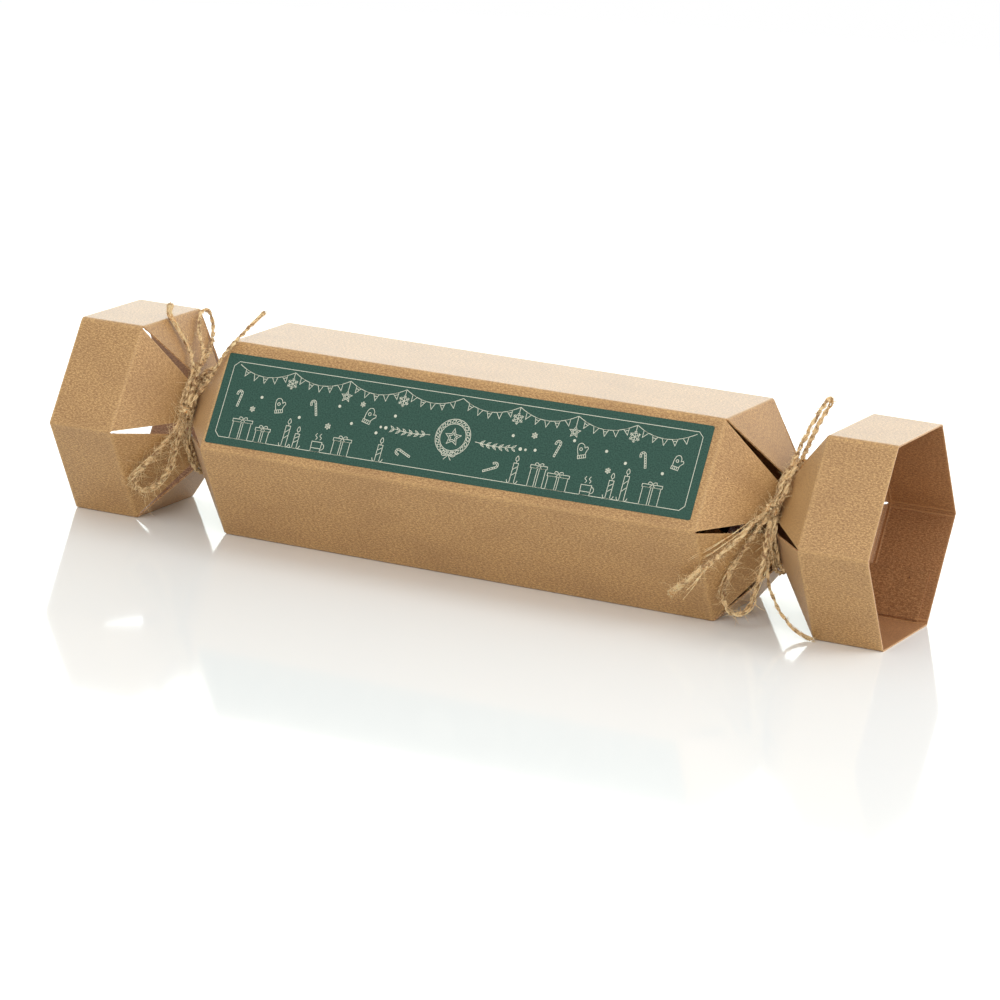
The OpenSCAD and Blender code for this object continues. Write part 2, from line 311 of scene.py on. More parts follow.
def smooth_route(points, step):
    """Points step mm apart on a centripetal Catmull-Rom curve, and their distance along it."""
    p = np.asarray(points, float)
    p = np.vstack([2 * p[0] - p[1], p, 2 * p[-1] - p[-2]])
    fine = []
    for a, b, c, d in zip(p, p[1:], p[2:], p[3:]):
        t = np.cumsum([0] + [max(np.linalg.norm(q - r), 1e-6) ** 0.5
                             for q, r in ((b, a), (c, b), (d, c))])
        s = np.linspace(t[1], t[2], FINE_STEPS, endpoint=False)[:, None]
        ab = ((t[1] - s) * a + (s - t[0]) * b) / (t[1] - t[0])
        bc = ((t[2] - s) * b + (s - t[1]) * c) / (t[2] - t[1])
        cd = ((t[3] - s) * c + (s - t[2]) * d) / (t[3] - t[2])
        abc = ((t[2] - s) * ab + (s - t[0]) * bc) / (t[2] - t[0])
        bcd = ((t[3] - s) * bc + (s - t[1]) * cd) / (t[3] - t[1])
        fine.append(((t[2] - s) * abc + (s - t[1]) * bcd) / (t[2] - t[1]))
    fine = np.vstack(fine + [p[-2]])
    run = np.concatenate([[0], np.cumsum(np.linalg.norm(np.diff(fine, axis=0), axis=1))])
    at = np.linspace(0, run[-1], max(4, round(run[-1] / step)) + 1)
    return np.column_stack([np.interp(at, run, fine[:, k]) for k in range(3)]), at


def carried_frames(line):
    """Tangent and two cross directions at each point, carried along without twist."""
    tangents = np.gradient(line, axis=0)
    tangents /= np.linalg.norm(tangents, axis=1)[:, None]
    side = np.cross(tangents[0], START_SIDE)
    sides = []
    for t in tangents:
        side = side - t * (side @ t)
        side /= np.linalg.norm(side)
        sides.append(side)
    sides = np.array(sides)
    return tangents, sides, np.cross(tangents, sides)


# %% [markdown]
# ## Twine: plies, strands and hairs
# The twine is built as it is spun: three strands turn round each other in each of two plies,
# and the plies turn round each other the other way. Where `spread` is above 1 the strands stand
# apart, as they do where the real twine has come loose. Blender's curve bevel turns all the
# lines into tubes at once, which is far quicker than sweeping rings in Python.

# %% The middle lines of a twine's strands
PLY_LAY, STRAND_LAY = 9.5, 7.0
PLY_AT, STRAND_AT, STRAND_R = 0.46, 0.25, 0.31
STRAND_TURN = 2.1


def wandering(run, every, rng, amount):
    """A smooth random value along the run, about as large as amount, new every few mm."""
    knots = rng.standard_normal(int(run[-1] / every) + 3)
    place = np.asarray(run) / every
    i = place.astype(int)
    f = (1 - np.cos(np.pi * (place - i))) / 2
    return amount * (knots[i] * (1 - f) + knots[i + 1] * f)


def strand_lines(line, run, spread, rng, size=1.0):
    """Middle lines of the six strands of two plies, spread times as far out as when tight."""
    _, across, up = carried_frames(line)
    lines = []
    start = rng.uniform(0, 6)
    for ply in range(2):
        turn = start + math.pi * ply + 2 * math.pi * run / PLY_LAY + wandering(run, 8, rng, 0.35)
        for strand in range(3):
            own = (turn + STRAND_TURN * strand - 2 * math.pi * run / STRAND_LAY
                   + wandering(run, 6, rng, 0.5))
            far = PLY_AT * size * spread * (1 + wandering(run, 5, rng, 0.10))
            near = STRAND_AT * size * spread * (1 + wandering(run, 4, rng, 0.3))
            a = far * np.cos(turn) + near * np.cos(own)
            b = far * np.sin(turn) + near * np.sin(own)
            lines.append(line + a[:, None] * across + b[:, None] * up)
    return lines


# %% Hairs that stand off a line
FIBRE_R = 0.075
FIBRE_STEPS = 6
HAIR_ROOT, HAIR_CURL, HAIR_WOBBLE = 0.6, 0.9, 0.12
# The beta distribution's two values: most hairs are short, a few reach far
HAIR_SPREAD = (1.1, 2.6)
BOX_MARGIN, TABLE_MARGIN = 0.2, 0.15


def held_in(points):
    """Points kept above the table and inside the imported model's box."""
    points = np.clip(points, LOW_MM + BOX_MARGIN, HIGH_MM - BOX_MARGIN)
    points[..., 2] = np.maximum(points[..., 2], TABLE_MARGIN)
    return points


def loose_hairs(line, count, rng, reach, lift=(12, 60)):
    """Curved hairs that leave a line, leaning along it more than out of it."""
    tangents, across, up = carried_frames(line)
    at = rng.integers(0, len(line), count)
    angle = rng.uniform(0, 2 * math.pi, count)[:, None]
    out = np.cos(angle) * across[at] + np.sin(angle) * up[at]
    rise = np.radians(rng.uniform(*lift, count))[:, None]
    either_way = rng.choice([-1, 1], count)[:, None]
    heading = np.cos(rise) * tangents[at] * either_way + np.sin(rise) * out
    length = (reach[0] + (reach[1] - reach[0]) * rng.beta(*HAIR_SPREAD, count))[:, None]
    bend = HAIR_CURL * rng.standard_normal((count, 3)) / FIBRE_STEPS
    place = line[at] + out * HAIR_ROOT
    points = [place]
    for _ in range(FIBRE_STEPS):
        heading = heading + bend + HAIR_WOBBLE * rng.standard_normal((count, 3))
        heading /= np.linalg.norm(heading, axis=1)[:, None]
        place = place + heading * length / FIBRE_STEPS
        points.append(place)
    return list(held_in(np.stack(points, axis=1)))


# %% Tubes along many lines at once
CURVE_WELD = 1e-7


def tubes(name, lines, radii, depth, level, length, material):
    """A piece of round tubes along lines, with UVs (around, along in mm) in the layer flat."""
    curve = bpy.data.curves.new(name, "CURVE")
    curve.dimensions = "3D"
    curve.bevel_depth = depth * MM
    curve.bevel_resolution = level
    curve.use_fill_caps = True
    for line, radius in zip(lines, radii):
        spline = curve.splines.new("POLY")
        spline.points.add(len(line) - 1)
        spline.points.foreach_set("co", np.column_stack([line * MM, np.ones(len(line))]).ravel())
        spline.points.foreach_set("radius", radius)
    holder = bpy.data.objects.new(name + "_lines", curve)
    bpy.context.scene.collection.objects.link(holder)
    work = bmesh.new()
    work.from_mesh(bpy.data.meshes.new_from_object(holder))
    bpy.data.objects.remove(holder)
    bmesh.ops.remove_doubles(work, verts=work.verts, dist=CURVE_WELD)
    mesh = bpy.data.meshes.new(name)
    work.to_mesh(mesh)
    work.free()
    layer = mesh.uv_layers[0]
    layer.name = "flat"
    uv = np.empty(2 * len(mesh.loops))
    layer.data.foreach_get("uv", uv)
    layer.data.foreach_set("uv", (uv.reshape(-1, 2) * (1, length)).ravel())
    return add_piece(name, mesh, [material])


THICK_SHARE, THICK_BY, TIP_R = 0.25, 1.9, 0.35
WISP_ROOT_R, WISP_TIP_R = 2.3, 1.2
# The length that a hair's pattern is laid along, in mm
HAIR_LENGTH = 6.0


def hair_tubes(name, hairs, rng, wisps=()):
    """Hairs that taper to their tips, a quarter of them thick, and wisps of many fibres."""
    taper = [np.linspace(1, TIP_R, len(h)) * (THICK_BY if rng.random() < THICK_SHARE else 1.0)
             for h in hairs]
    taper += [np.linspace(WISP_ROOT_R, WISP_TIP_R, len(w)) for w in wisps]
    return tubes(name, hairs + list(wisps), taper, FIBRE_R, 0, HAIR_LENGTH, JUTE_FIBRE)


# %% [markdown]
# ## Twine: bows and ends
# Each bow has two loops and two ends, and each is its own free length of twine. One recipe for
# all would look like eight copies: the lower loops and the brushed-out ends have come loose and
# fluffy, the upper loops are firmer and the thin ends are tight. So every stretch has its own
# `spread` along its run and its own number of hairs.

# %% Routes of the bows' loops and the twine's ends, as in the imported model
ROUTES = {
    "left_bow_upper_loop": ((-143.4, -25.2, 57), (-143.4, -21.6, 64.6), (-144.6, -14.8, 71.4),
        (-147.5, -6, 76), (-152.5, 1, 79), (-158, 8, 82.5), (-162.5, 15.5, 87), (-165, 22, 90),
        (-164.5, 26.5, 89.5), (-161.5, 26, 85), (-157, 18.5, 80), (-152.5, 8.5, 75),
        (-149.5, -2, 72.4), (-148.2, -12, 69.5), (-148, -20, 63), (-147.4, -24.8, 57)),
    "left_bow_lower_loop": ((-146, -27, 51), (-148, -29, 45), (-151.5, -31.5, 39.5),
        (-156.5, -34.5, 32), (-161, -37, 25.5), (-163.5, -38, 21), (-163, -36.5, 17.5),
        (-160, -33, 16), (-155.5, -29, 19), (-151, -28, 25.5), (-148, -28, 34), (-146, -28, 42.5),
        (-144.4, -27.2, 50)),
    "left_twine_end_a": ((-145.3, -25, 57), (-145.8, -21.8, 64), (-147.2, -15.8, 70.4),
        (-150.5, -11, 74.8), (-154.5, -7, 78.2), (-160.5, -4.5, 84), (-164.5, -3.5, 88.2),
        (-168, -3, 92), (-170, 1, 95)),
    "left_twine_end_b": ((-142, -26, 56.5), (-140, -25.5, 60.5), (-136.5, -25, 65.5),
        (-129, -27.5, 75.5), (-123.5, -30, 83.5), (-120, -30.5, 88), (-117.5, -28.5, 91.5),
        (-117, -18, 96), (-116.5, -6, 100.5)),
    "right_bow_upper_loop": ((145.6, -25.2, 57), (147.4, -22.6, 63), (148, -16.8, 68.8),
        (147.6, -8, 74.6), (147.8, 2, 82), (149, 10, 89.5), (150, 17.5, 94.5), (150, 22.5, 94.5),
        (148.8, 25, 91.5), (147.5, 20, 86.5), (147, 11.5, 79.8), (148.2, -2, 72.6),
        (149.2, -12.4, 70.4), (149.8, -20, 65.4), (149.4, -24, 60), (147.8, -25.4, 56.5)),
    "right_bow_lower_loop": ((144.4, -27, 50.5), (142, -29.5, 47), (137.5, -31, 39),
        (132.5, -32, 29), (129, -32, 20), (128, -31.5, 12.5), (130.5, -31, 7.5), (135.5, -31, 7),
        (140, -31, 11), (142.5, -31, 19.5), (145, -31, 31), (145.6, -30.2, 41.5),
        (145.8, -28.6, 49.5)),
    "right_twine_end_a": ((143, -26.6, 53), (139.5, -31.5, 48), (135.5, -36, 42), (131.5, -40, 37),
        (127.5, -43, 32.5), (123, -45, 28.5), (117, -44.5, 22.5), (108, -42, 14.5)),
    "right_twine_end_b": ((147.2, -26.2, 50.5), (146.2, -27, 41), (145.6, -27.4, 32),
        (146.8, -27.8, 22), (149.5, -28, 16), (154, -28.5, 9.5), (160.5, -29, 4),
        (166.5, -29.2, 1.5), (169.5, -29.4, 1.1)),
}

print(f"{len(ROUTES)} free stretches of twine")

# %% How loose and how hairy each stretch is
# Spread along the run, strand thickness, hairs per mm, their reach in mm
DRESS = {
    "left_bow_upper_loop": ((1.0, 1.0, 1.05, 1.0, 1.0), 0.95, 2.5, (1.0, 7.0)),
    "left_bow_lower_loop": ((0.95, 1.0, 1.25, 1.75, 1.6, 1.15, 1.0), 1.0, 6.0, (1.5, 16.0)),
    "left_twine_end_a": ((0.95, 0.95, 1.0, 1.2, 1.35), 1.0, 2.5, (1.0, 7.0)),
    "left_twine_end_b": ((0.9, 0.9, 0.9, 0.95), 0.95, 2.0, (1.0, 5.0)),
    "right_bow_upper_loop": ((1.05, 1.15, 1.15, 1.15, 1.05), 1.12, 4.0, (1.0, 7.0)),
    "right_bow_lower_loop": ((0.95, 0.9, 1.05, 1.25, 1.25, 1.15, 1.05), 1.1, 4.0, (1.5, 13.0)),
    "right_twine_end_a": ((0.95, 1.0, 1.1, 1.25, 1.45, 1.6), 1.35, 5.0, (1.5, 11.0)),
    "right_twine_end_b": ((0.85, 0.8, 0.8, 0.8), 0.85, 1.2, (0.8, 4.0)),
}
ENDS_FREE = {name for name in ROUTES if "_end_" in name}
BRUSH_ENDS = {"left_twine_end_a", "right_twine_end_a"}


# %% Frayed tips and stray strands
STRAY_STEPS = 14


def frayed_tip(line, rng, count, share, flare):
    """Hairs that run with the last share of a yarn and fan out of its cut end."""
    tangents, across, up = carried_frames(line)
    first = (1 - share) * (len(line) - 1)
    hairs = []
    for _ in range(count):
        angle, wave = rng.uniform(0, 2 * math.pi), rng.uniform(-1.5, 1.5)
        begin = first + rng.uniform(0, 0.75) * (len(line) - 1 - first)
        places = np.linspace(begin, len(line) - 1, FIBRE_STEPS).astype(int)
        t = np.arange(FIBRE_STEPS) / (FIBRE_STEPS - 1)
        r = TWINE_D / 2 * (0.7 + rng.uniform(0.4, 1.0) * flare * t)
        a = angle + wave * t
        hair = (line[places] + (r * np.cos(a))[:, None] * across[places]
                + (r * np.sin(a))[:, None] * up[places])
        tip = hair[-1] + tangents[-1] * rng.uniform(0.2, 1.4) + 0.4 * rng.standard_normal(3)
        hairs.append(held_in(np.vstack([hair, tip])))
    return hairs


def stray_strand(line, begin, finish, away, rng):
    """A strand that has left the twine: it starts in it and stands off by away, in mm."""
    places = np.linspace(begin, finish, STRAY_STEPS) * (len(line) - 1)
    base = np.column_stack([np.interp(places, np.arange(len(line)), line[:, k]) for k in range(3)])
    t = np.linspace(0, 1, STRAY_STEPS)[:, None]
    drift = 0.25 * np.cumsum(rng.standard_normal((STRAY_STEPS, 3)), 0) / 3 * t
    return held_in(base + np.asarray(away) * t ** 0.7 + drift)


# Where each stray strand leaves and ends, as shares of the run, and how far it stands off
STRAYS = {
    "right_twine_end_a": ((0.05, 0.72, (-3.0, -0.8, 5.4)), (0.15, 0.6, (-1.5, -0.8, 3.4)),
                          (0.6, 0.95, (4.2, -1.0, -3.8)), (0.5, 0.85, (1.8, -1.2, -2.6))),
    "right_bow_lower_loop": ((0.2, 0.42, (-2.2, -0.6, 0.5)), (0.45, 0.66, (1.5, -0.5, -1.2)),
                             (0.6, 0.8, (2.0, -0.8, -1.5))),
    "left_bow_lower_loop": ((0.2, 0.45, (-2.0, -0.8, 0.8)), (0.45, 0.66, (0.8, -1.0, -2.0)),
                            (0.5, 0.76, (1.6, -0.8, -1.2)), (0.62, 0.85, (-2.0, -1.0, 2.0))),
}


# %% One free stretch of twine
ROUTE_STEP = 0.6
FIBRES_PER_STRAY = 3
# Number, share of the stretch that they run along, flare at the cut
BRUSH_HAIRS, BRUSH_WISPS, CUT_HAIRS = (120, 0.4, 0.9), (40, 0.45, 0.75), (30, 0.2, 0.4)


def make_cord(name, seed):
    """Strands, hairs and stray fibres along one route."""
    rng = np.random.default_rng(seed)
    line, run = smooth_route(ROUTES[name], ROUTE_STEP)
    shares, thick, per_mm, reach = DRESS[name]
    spread = np.interp(run / run[-1], np.linspace(0, 1, len(shares)), shares)
    strands = strand_lines(line, run, spread, rng)
    radii = [thick * (1 + wandering(run, 3, rng, 0.13)) for _ in strands]
    yarn = tubes(name + "_yarn", strands, radii, STRAND_R, 1, run[-1], JUTE)
    hairs = loose_hairs(line, int(per_mm * run[-1]), rng, reach)
    wisps = [stray_strand(line, *stray, rng) for stray in STRAYS.get(name, ())
             for _ in range(FIBRES_PER_STRAY)]
    if name in BRUSH_ENDS:
        hairs += frayed_tip(line, rng, *BRUSH_HAIRS)
        wisps += frayed_tip(line, rng, *BRUSH_WISPS)
    elif name in ENDS_FREE:
        hairs += frayed_tip(line, rng, *CUT_HAIRS)
    fuzz = hair_tubes(name + "_hairs", hairs, rng, wisps)
    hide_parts(name)
    print(f"{name}: {run[-1]:.1f} mm of twine, {len(hairs)} hairs")


for number, cord_name in enumerate(ROUTES):
    make_cord(cord_name, 100 + number)


# %% [markdown]
# ## Twine: windings and knots
# The rest of each length of twine is wound tightly round its neck, three turns that lie twisted
# round each other, and drawn together by the bow's knot. Three separate rings would be easier, but
# one length that climbs from turn to turn is what the real twine is. These are fixed, and like the
# free stretches they are plain pieces on the same routes as the imported solids.

# %% The windings round the necks
STRAND_STEP = TWINE_D + 0.45
BUNDLE_R = STRAND_STEP / (2 * math.sin(math.pi / 3))
SLANT_SHARE = math.hypot(NECK_X - BODY_HALF, APOTHEM - NECK_APOTHEM) / (NECK_X - BODY_HALF)
BUNDLE_GAP = 0.25
BUNDLE_H = (BUNDLE_R + TWINE_D / 2 + BUNDLE_GAP) * SLANT_SHARE
KNOT_DROP = 4.5
KNOT_ANGLE = 150
TURNS, PER_PANEL = 3, 4
PER_TURN = PER_PANEL * len(PANELS)
WINDING_STEP = 0.8
WINDING_HAIRS = 450


def unit(degrees):
    """A direction in the plane across the cracker."""
    return np.array([math.cos(math.radians(degrees)), math.sin(math.radians(degrees))])


def winding_line(side):
    """Three turns that lie twisted round each other in the groove of the neck."""
    def across_bundle(f):
        turned = math.radians(90 + 360 * f)
        return BUNDLE_R * math.cos(turned), BUNDLE_H + BUNDLE_R * math.sin(turned)

    def end(w):
        x, h = across_bundle(0)
        v = (NECK_APOTHEM + h) * unit(KNOT_ANGLE) + w * unit(KNOT_ANGLE + 90)
        return side * (NECK_X + x), v[0], v[1] + APOTHEM

    line = [end(KNOT_DROP + STRAND_STEP / 2)]
    for i in range(TURNS * PER_TURN):
        x, h = across_bundle((i + 0.5) / (TURNS * PER_TURN))
        spot = (i + 2) % PER_TURN
        q, a = spot % PER_PANEL, 60 * (spot // PER_PANEL) + KNOT_ANGLE
        v = (NECK_APOTHEM * unit(a) + (-1 if q < 2 else 1) * NECK_W / 2 * unit(a + 90)
             + h * unit(a + (-30, 0, 0, 30)[q]))
        line.append((side * (NECK_X + x), v[0], v[1] + APOTHEM))
    return line + [end(KNOT_DROP - STRAND_STEP / 2)]


def make_winding(side_name, seed):
    """The twine wound round one neck, with its hairs."""
    rng = np.random.default_rng(seed)
    line, run = smooth_route(winding_line(SIDES[side_name]), WINDING_STEP)
    strands = strand_lines(line, run, np.ones(len(run)), rng, 0.98)
    radii = [1 + wandering(run, 4, rng, 0.1) for _ in strands]
    winding = tubes(side_name + "_winding", strands, radii, STRAND_R, 1, run[-1], JUTE)
    hairs = loose_hairs(line, WINDING_HAIRS, rng, (0.8, 6.0))
    fuzz = hair_tubes(side_name + "_winding_hairs", hairs, rng)
    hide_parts(side_name + "_twine_wrap")
    print(f"{side_name} winding: {run[-1]:.1f} mm of twine")


# %% The knots: strands run through, and a band of twine draws them together
# Strands that run through: place across, height over the neck, lean
KNOT_RUNS = ((-1.25, 0.1, 0.5), (0.1, 0.5, -0.4), (1.3, 0.0, -0.6), (0.0, -1.1, 0.3))
KNOT_CROSS = ((-2.5, -2.3, -0.6), (-2.0, -1.8, 1.3), (-0.6, -0.6, 2.2), (0.9, 0.9, 2.15),
              (2.1, 2.0, 1.2), (2.4, 2.5, -0.6))
KNOT_REACH, KNOT_BOW = 3.3, 0.02
COIL_W, COIL_D, COIL_LOW, COIL_RISE, COIL_ANGLE = 2.35, 1.85, -1.5, 2.6, 10.4
COIL_FROM, COIL_TO = -0.6, 9.8
KNOT_STEP, KNOT_HAIRS = 0.4, 30
# The length that the pattern is laid along, in mm, about as long as a strand in the knot
KNOT_LENGTH = 12.0


def make_knot(side_name, seed):
    """The knot of one bow, with its hairs."""
    rng = np.random.default_rng(seed)
    side = SIDES[side_name]
    low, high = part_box(side_name + "_bow_knot")
    centre = np.array((low + high) / 2) / MM
    # Up the slope of the front upper side, out of it, and along the cracker
    up, out, along = np.array([0, 0.5, 0.866]), np.array([0, -0.866, 0.5]), np.array([1.0, 0, 0])

    def place(x, t, n):
        return centre + x * along + t * up + n * out

    routes = [[place(x + lean * t / 3, t, n - KNOT_BOW * t * t)
               for t in np.linspace(-KNOT_REACH, KNOT_REACH, 7)] for x, n, lean in KNOT_RUNS]
    routes.append([place(COIL_W * math.cos(a) * side, COIL_LOW + COIL_RISE * a / COIL_ANGLE,
                         COIL_D * math.sin(a)) for a in np.linspace(COIL_FROM, COIL_TO, 34)])
    routes.append([place(side * x, t, n) for x, t, n in KNOT_CROSS])
    lines, radii, hairs = [], [], []
    for route in routes:
        line, run = smooth_route(route, KNOT_STEP)
        strands = strand_lines(line, run, np.ones(len(run)), rng, 0.86)
        lines += strands
        radii += [0.9 * (1 + wandering(run, 2, rng, 0.15)) for _ in strands]
        hairs += loose_hairs(line, KNOT_HAIRS, rng, (1.0, 8.0), lift=(20, 75))
    knot = tubes(side_name + "_knot", lines, radii, STRAND_R, 1, KNOT_LENGTH, JUTE)
    fuzz = hair_tubes(side_name + "_knot_hairs", hairs, rng)
    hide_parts(side_name + "_bow_knot")
    print(f"{side_name} knot: {len(lines)} strands, {len(hairs)} hairs")


for number, side_name in enumerate(SIDES):
    make_winding(side_name, 200 + number)
    make_knot(side_name, 300 + number)


# %% [markdown]
# ## Kraft board
# Kraft board is brown paper made of short, unbleached fibres: the tone is finely mottled, with
# thin darker flecks and, here and there, a dark speck of bark. One noise would look like stone, so
# two are stretched along crossing directions, as fibres lie, with finer grit over them. The pattern
# is drawn once, in a node group on flat coordinates in millimetres, so it runs on over every fold
# as it does on the real sheet. `Fold` rises along creases, slit edges, mouths and inner ribs, where
# the board turns paler: partly rubbed paper, partly a painted highlight where these edges catch light.

# %% The kraft paper group
KRAFT_PALE, KRAFT_MID, KRAFT_DEEP = rgb(232, 188, 132), rgb(164, 118, 69), rgb(136, 92, 50)
KRAFT_FLECK, KRAFT_SPECK = rgb(140, 98, 60), rgb(84, 56, 34)
SPECK_CELLS, SPECK_R, SPECK_RIM = 0.085, 0.028, (-0.008, 0.004)


def make_kraft_group():
    """Colour, height and roughness of kraft paper. Flat is the place on the sheet in mm."""
    n, given, out = new_group("kraft_paper", {"Flat": "NodeSocketVector", "Fold": "NodeSocketFloat",
                              "Tint": "NodeSocketColor"},
                              {"Color": "NodeSocketColor", "Height": "NodeSocketFloat",
                               "Roughness": "NodeSocketFloat"})
    flat = given["Flat"]
    lengthways = n.noise(n.scaled(flat, (0.9, 1.9, 1.9)), 0.85, 4.0, 0.72)
    crossways = n.noise(n.scaled(flat, (1.0, 2.1, 2.1), 1.1), 0.85, 4.0, 0.72)
    grit = n.noise(flat, 2.6, 2.0, 0.7)
    cloud = n.noise(n.scaled(flat, (0.6, 1.0, 1.0)), 0.05, 3.0, 0.55)
    fleck = n.noise(n.scaled(flat, (0.45, 1.8, 1.8), 0.35), 0.95, 2.0, 0.6)
    mottle = n.maths("MULTIPLY", n.maths("ADD", lengthways, crossways), 0.5)
    tone = n.blend(n.span(mottle, 0.45, 0.55), KRAFT_MID, KRAFT_PALE)
    tone = n.blend(n.span(grit, 0.44, 0.58, 0.0, 0.75), tone, KRAFT_MID)
    tone = n.blend(n.span(cloud, 0.42, 0.75, 0.0, 0.25), tone, KRAFT_DEEP)
    tone = n.blend(n.span(fleck, 0.6, 0.7, 0.0, 0.7), tone, KRAFT_FLECK)
    cells = n.add("ShaderNodeTexVoronoi", {"Vector": flat, "Scale": SPECK_CELLS},
                  voronoi_dimensions="2D")
    drawn = n.add("ShaderNodeSeparateColor", {0: cells.outputs["Color"]}).outputs[0]
    beyond = n.maths("SUBTRACT", cells.outputs["Distance"], n.span(drawn, 0.35, 1.0, 0.0, SPECK_R))
    tone = n.blend(n.span(beyond, *SPECK_RIM, 0.8, 0.0), tone, KRAFT_SPECK)
    # Paler along creases, slit edges, mouths and ribs: partly rubbed paper, partly a painted highlight
    rubbed_and_highlight = n.maths("MULTIPLY", given["Fold"], n.span(grit, 0.3, 0.7, 0.3, 0.8))
    tone = n.blend(rubbed_and_highlight, tone, KRAFT_PALE)
    n.feed(out["Color"], n.blend(1.0, tone, given["Tint"], "MULTIPLY"))
    n.feed(out["Height"], n.maths("ADD", n.maths("MULTIPLY", mottle, 0.6),
                                  n.maths("MULTIPLY", grit, 0.4)))
    n.feed(out["Roughness"], n.span(mottle, 0.35, 0.65, 0.55, 0.7))
    return n.tree


KRAFT_GROUP = make_kraft_group()


# %% [markdown]
# The sheet's outer face, its pale cut edges, its inner face and the glue flaps are four materials
# of the same group. The inner face and the flaps are the same board tinted darker and redder,
# painted shade for the inside of the sleeve. Board looks whiter at a low angle, because its pressed
# surface then reflects the light behind it. A rough clear coat with a trace of sheen gives that,
# where a paler colour would whiten every view.

# %% The kraft materials
KRAFT_RELIEF = 0.00018


def make_kraft(name, tint, on_sheet, depth=0.5):
    """Kraft paper in a tint; on the sheet it follows the flat sheet and its creases."""
    material, n, shader = new_material(name, Specular_IOR_Level=0.5, Sheen_Weight=0.1,
                                       Sheen_Roughness=0.3, Coat_Weight=0.6, Coat_Roughness=0.35)
    values = {"Tint": (*tint, 1), "Flat": n.object_mm()}
    if on_sheet:
        values["Flat"] = n.add("ShaderNodeUVMap", uv_map="flat").outputs[0]
        values["Fold"] = n.add("ShaderNodeAttribute", attribute_name="mark").outputs["Fac"]
    paper = placed_group(n, KRAFT_GROUP, values)
    n.feed(shader["Base Color"], paper["Color"])
    n.feed(shader["Roughness"], paper["Roughness"])
    n.feed(shader["Normal"], bump(n, paper["Height"], depth, KRAFT_RELIEF))
    return material


KRAFT = make_kraft("kraft_board", (0.88, 0.87, 0.735), True)
KRAFT_CUT = make_kraft("kraft_cut_edge", (1.1, 1.1, 1.1), False, 1.0)
# Darker, redder board for the inside and the glue flaps: painted shade of the sleeve's inside
KRAFT_INNER_SHADE = make_kraft("kraft_inner_painted_shade", (0.75, 0.62, 0.54), True)
KRAFT_FLAP_SHADE = make_kraft("kraft_flap_painted_shade", (0.75, 0.63, 0.55), False)
print(f"kraft: {len(KRAFT_GROUP.nodes)} nodes in its group, 4 materials")


# %% [markdown]
# ## The blank: its lengthwise outline
# The real blank is one flat sheet, creased across at the necks and along six folds, slit between
# the petals and glued into a hexagonal sleeve. The lengthwise outline, from one mouth to the
# other, is worked out first: straight stretches, and a small arc at each crease, because board
# never folds to a knife edge.

# %% Rows of the sheet from the left mouth to the right
FOLD_R = {"crease": 1.7, "neck": 1.0}
NEAR_FOLD = [0, 0.3, 0.6, 0.85, 1.1, 1.4, 1.8, 2.6, 4.0]
ARC_STEPS = 6
SLOPE_STEP, LEVEL_STEP = 4, 9


def straight_marks(length, sloped):
    """Places along a straight stretch, close together beside its two folds."""
    zone = NEAR_FOLD[-1]
    count = round((length - 2 * zone) / (SLOPE_STEP if sloped else LEVEL_STEP))
    inner = np.linspace(zone, length - zone, max(2, count) + 1)
    return sorted(set(NEAR_FOLD) | set(inner[1:-1]) | {length - d for d in NEAR_FOLD})


def fold_rows():
    """Rows of (x, distance from the axis, petal share, gap to the nearest fold)."""
    right_half = [(BODY_HALF, APOTHEM), (NECK_X, NECK_APOTHEM), (RING_IN, APOTHEM),
                  (RING_OUT, APOTHEM)]
    corners = [np.array((-x, a)) for x, a in reversed(right_half)]
    corners += [np.array(c) for c in right_half]
    rows, last = [], corners[0]
    for k in range(1, len(corners)):
        b = corners[k]
        way = (b - corners[k - 1]) / np.linalg.norm(b - corners[k - 1])
        sloped = abs(way[1]) > 0.1
        stop = b
        if k < len(corners) - 1:
            ahead = (corners[k + 1] - b) / np.linalg.norm(corners[k + 1] - b)
            bend = math.acos(way @ ahead)
            radius = FOLD_R["neck" if b[1] < APOTHEM else "crease"]
            stop = b - way * radius * math.tan(bend / 2)
        length = np.linalg.norm(stop - last)
        rows += [(*(last + way * m), 1.0 if sloped else 0.0, min(m, length - m))
                 for m in straight_marks(length, sloped)]
        if k < len(corners) - 1:
            turn = math.copysign(bend, way[0] * ahead[1] - way[1] * ahead[0])
            middle = stop + np.array([-way[1], way[0]]) * math.copysign(radius, turn)
            for s in range(1, ARC_STEPS):
                swing = Matrix.Rotation(turn * s / ARC_STEPS, 2)
                p = middle + np.array(swing @ Vector(stop - middle))
                share = s / ARC_STEPS if not sloped else 1 - s / ARC_STEPS
                share = 1.0 if b[1] < APOTHEM else share * share * (3 - 2 * share)
                rows.append((*p, share, 0.0))
            last = b + ahead * radius * math.tan(bend / 2)
    return rows


ROWS = fold_rows()
RUN = np.concatenate([[0], np.cumsum([math.dist(p[:2], q[:2]) for p, q in zip(ROWS, ROWS[1:])])])
print(f"{len(ROWS)} rows along {RUN[-1]:.1f} mm of board")


# %% [markdown]
# ## The blank: across a panel
# Each of the six panels is a grid. Its columns lie close together beside the long folds, and past
# its flat part it turns through half of each fold's arc, where it meets its neighbour. On the
# petals the panel narrows to the neck. One grid for the whole sheet would need its cut-outs taken
# away face by face; between six grids they stay open by themselves.

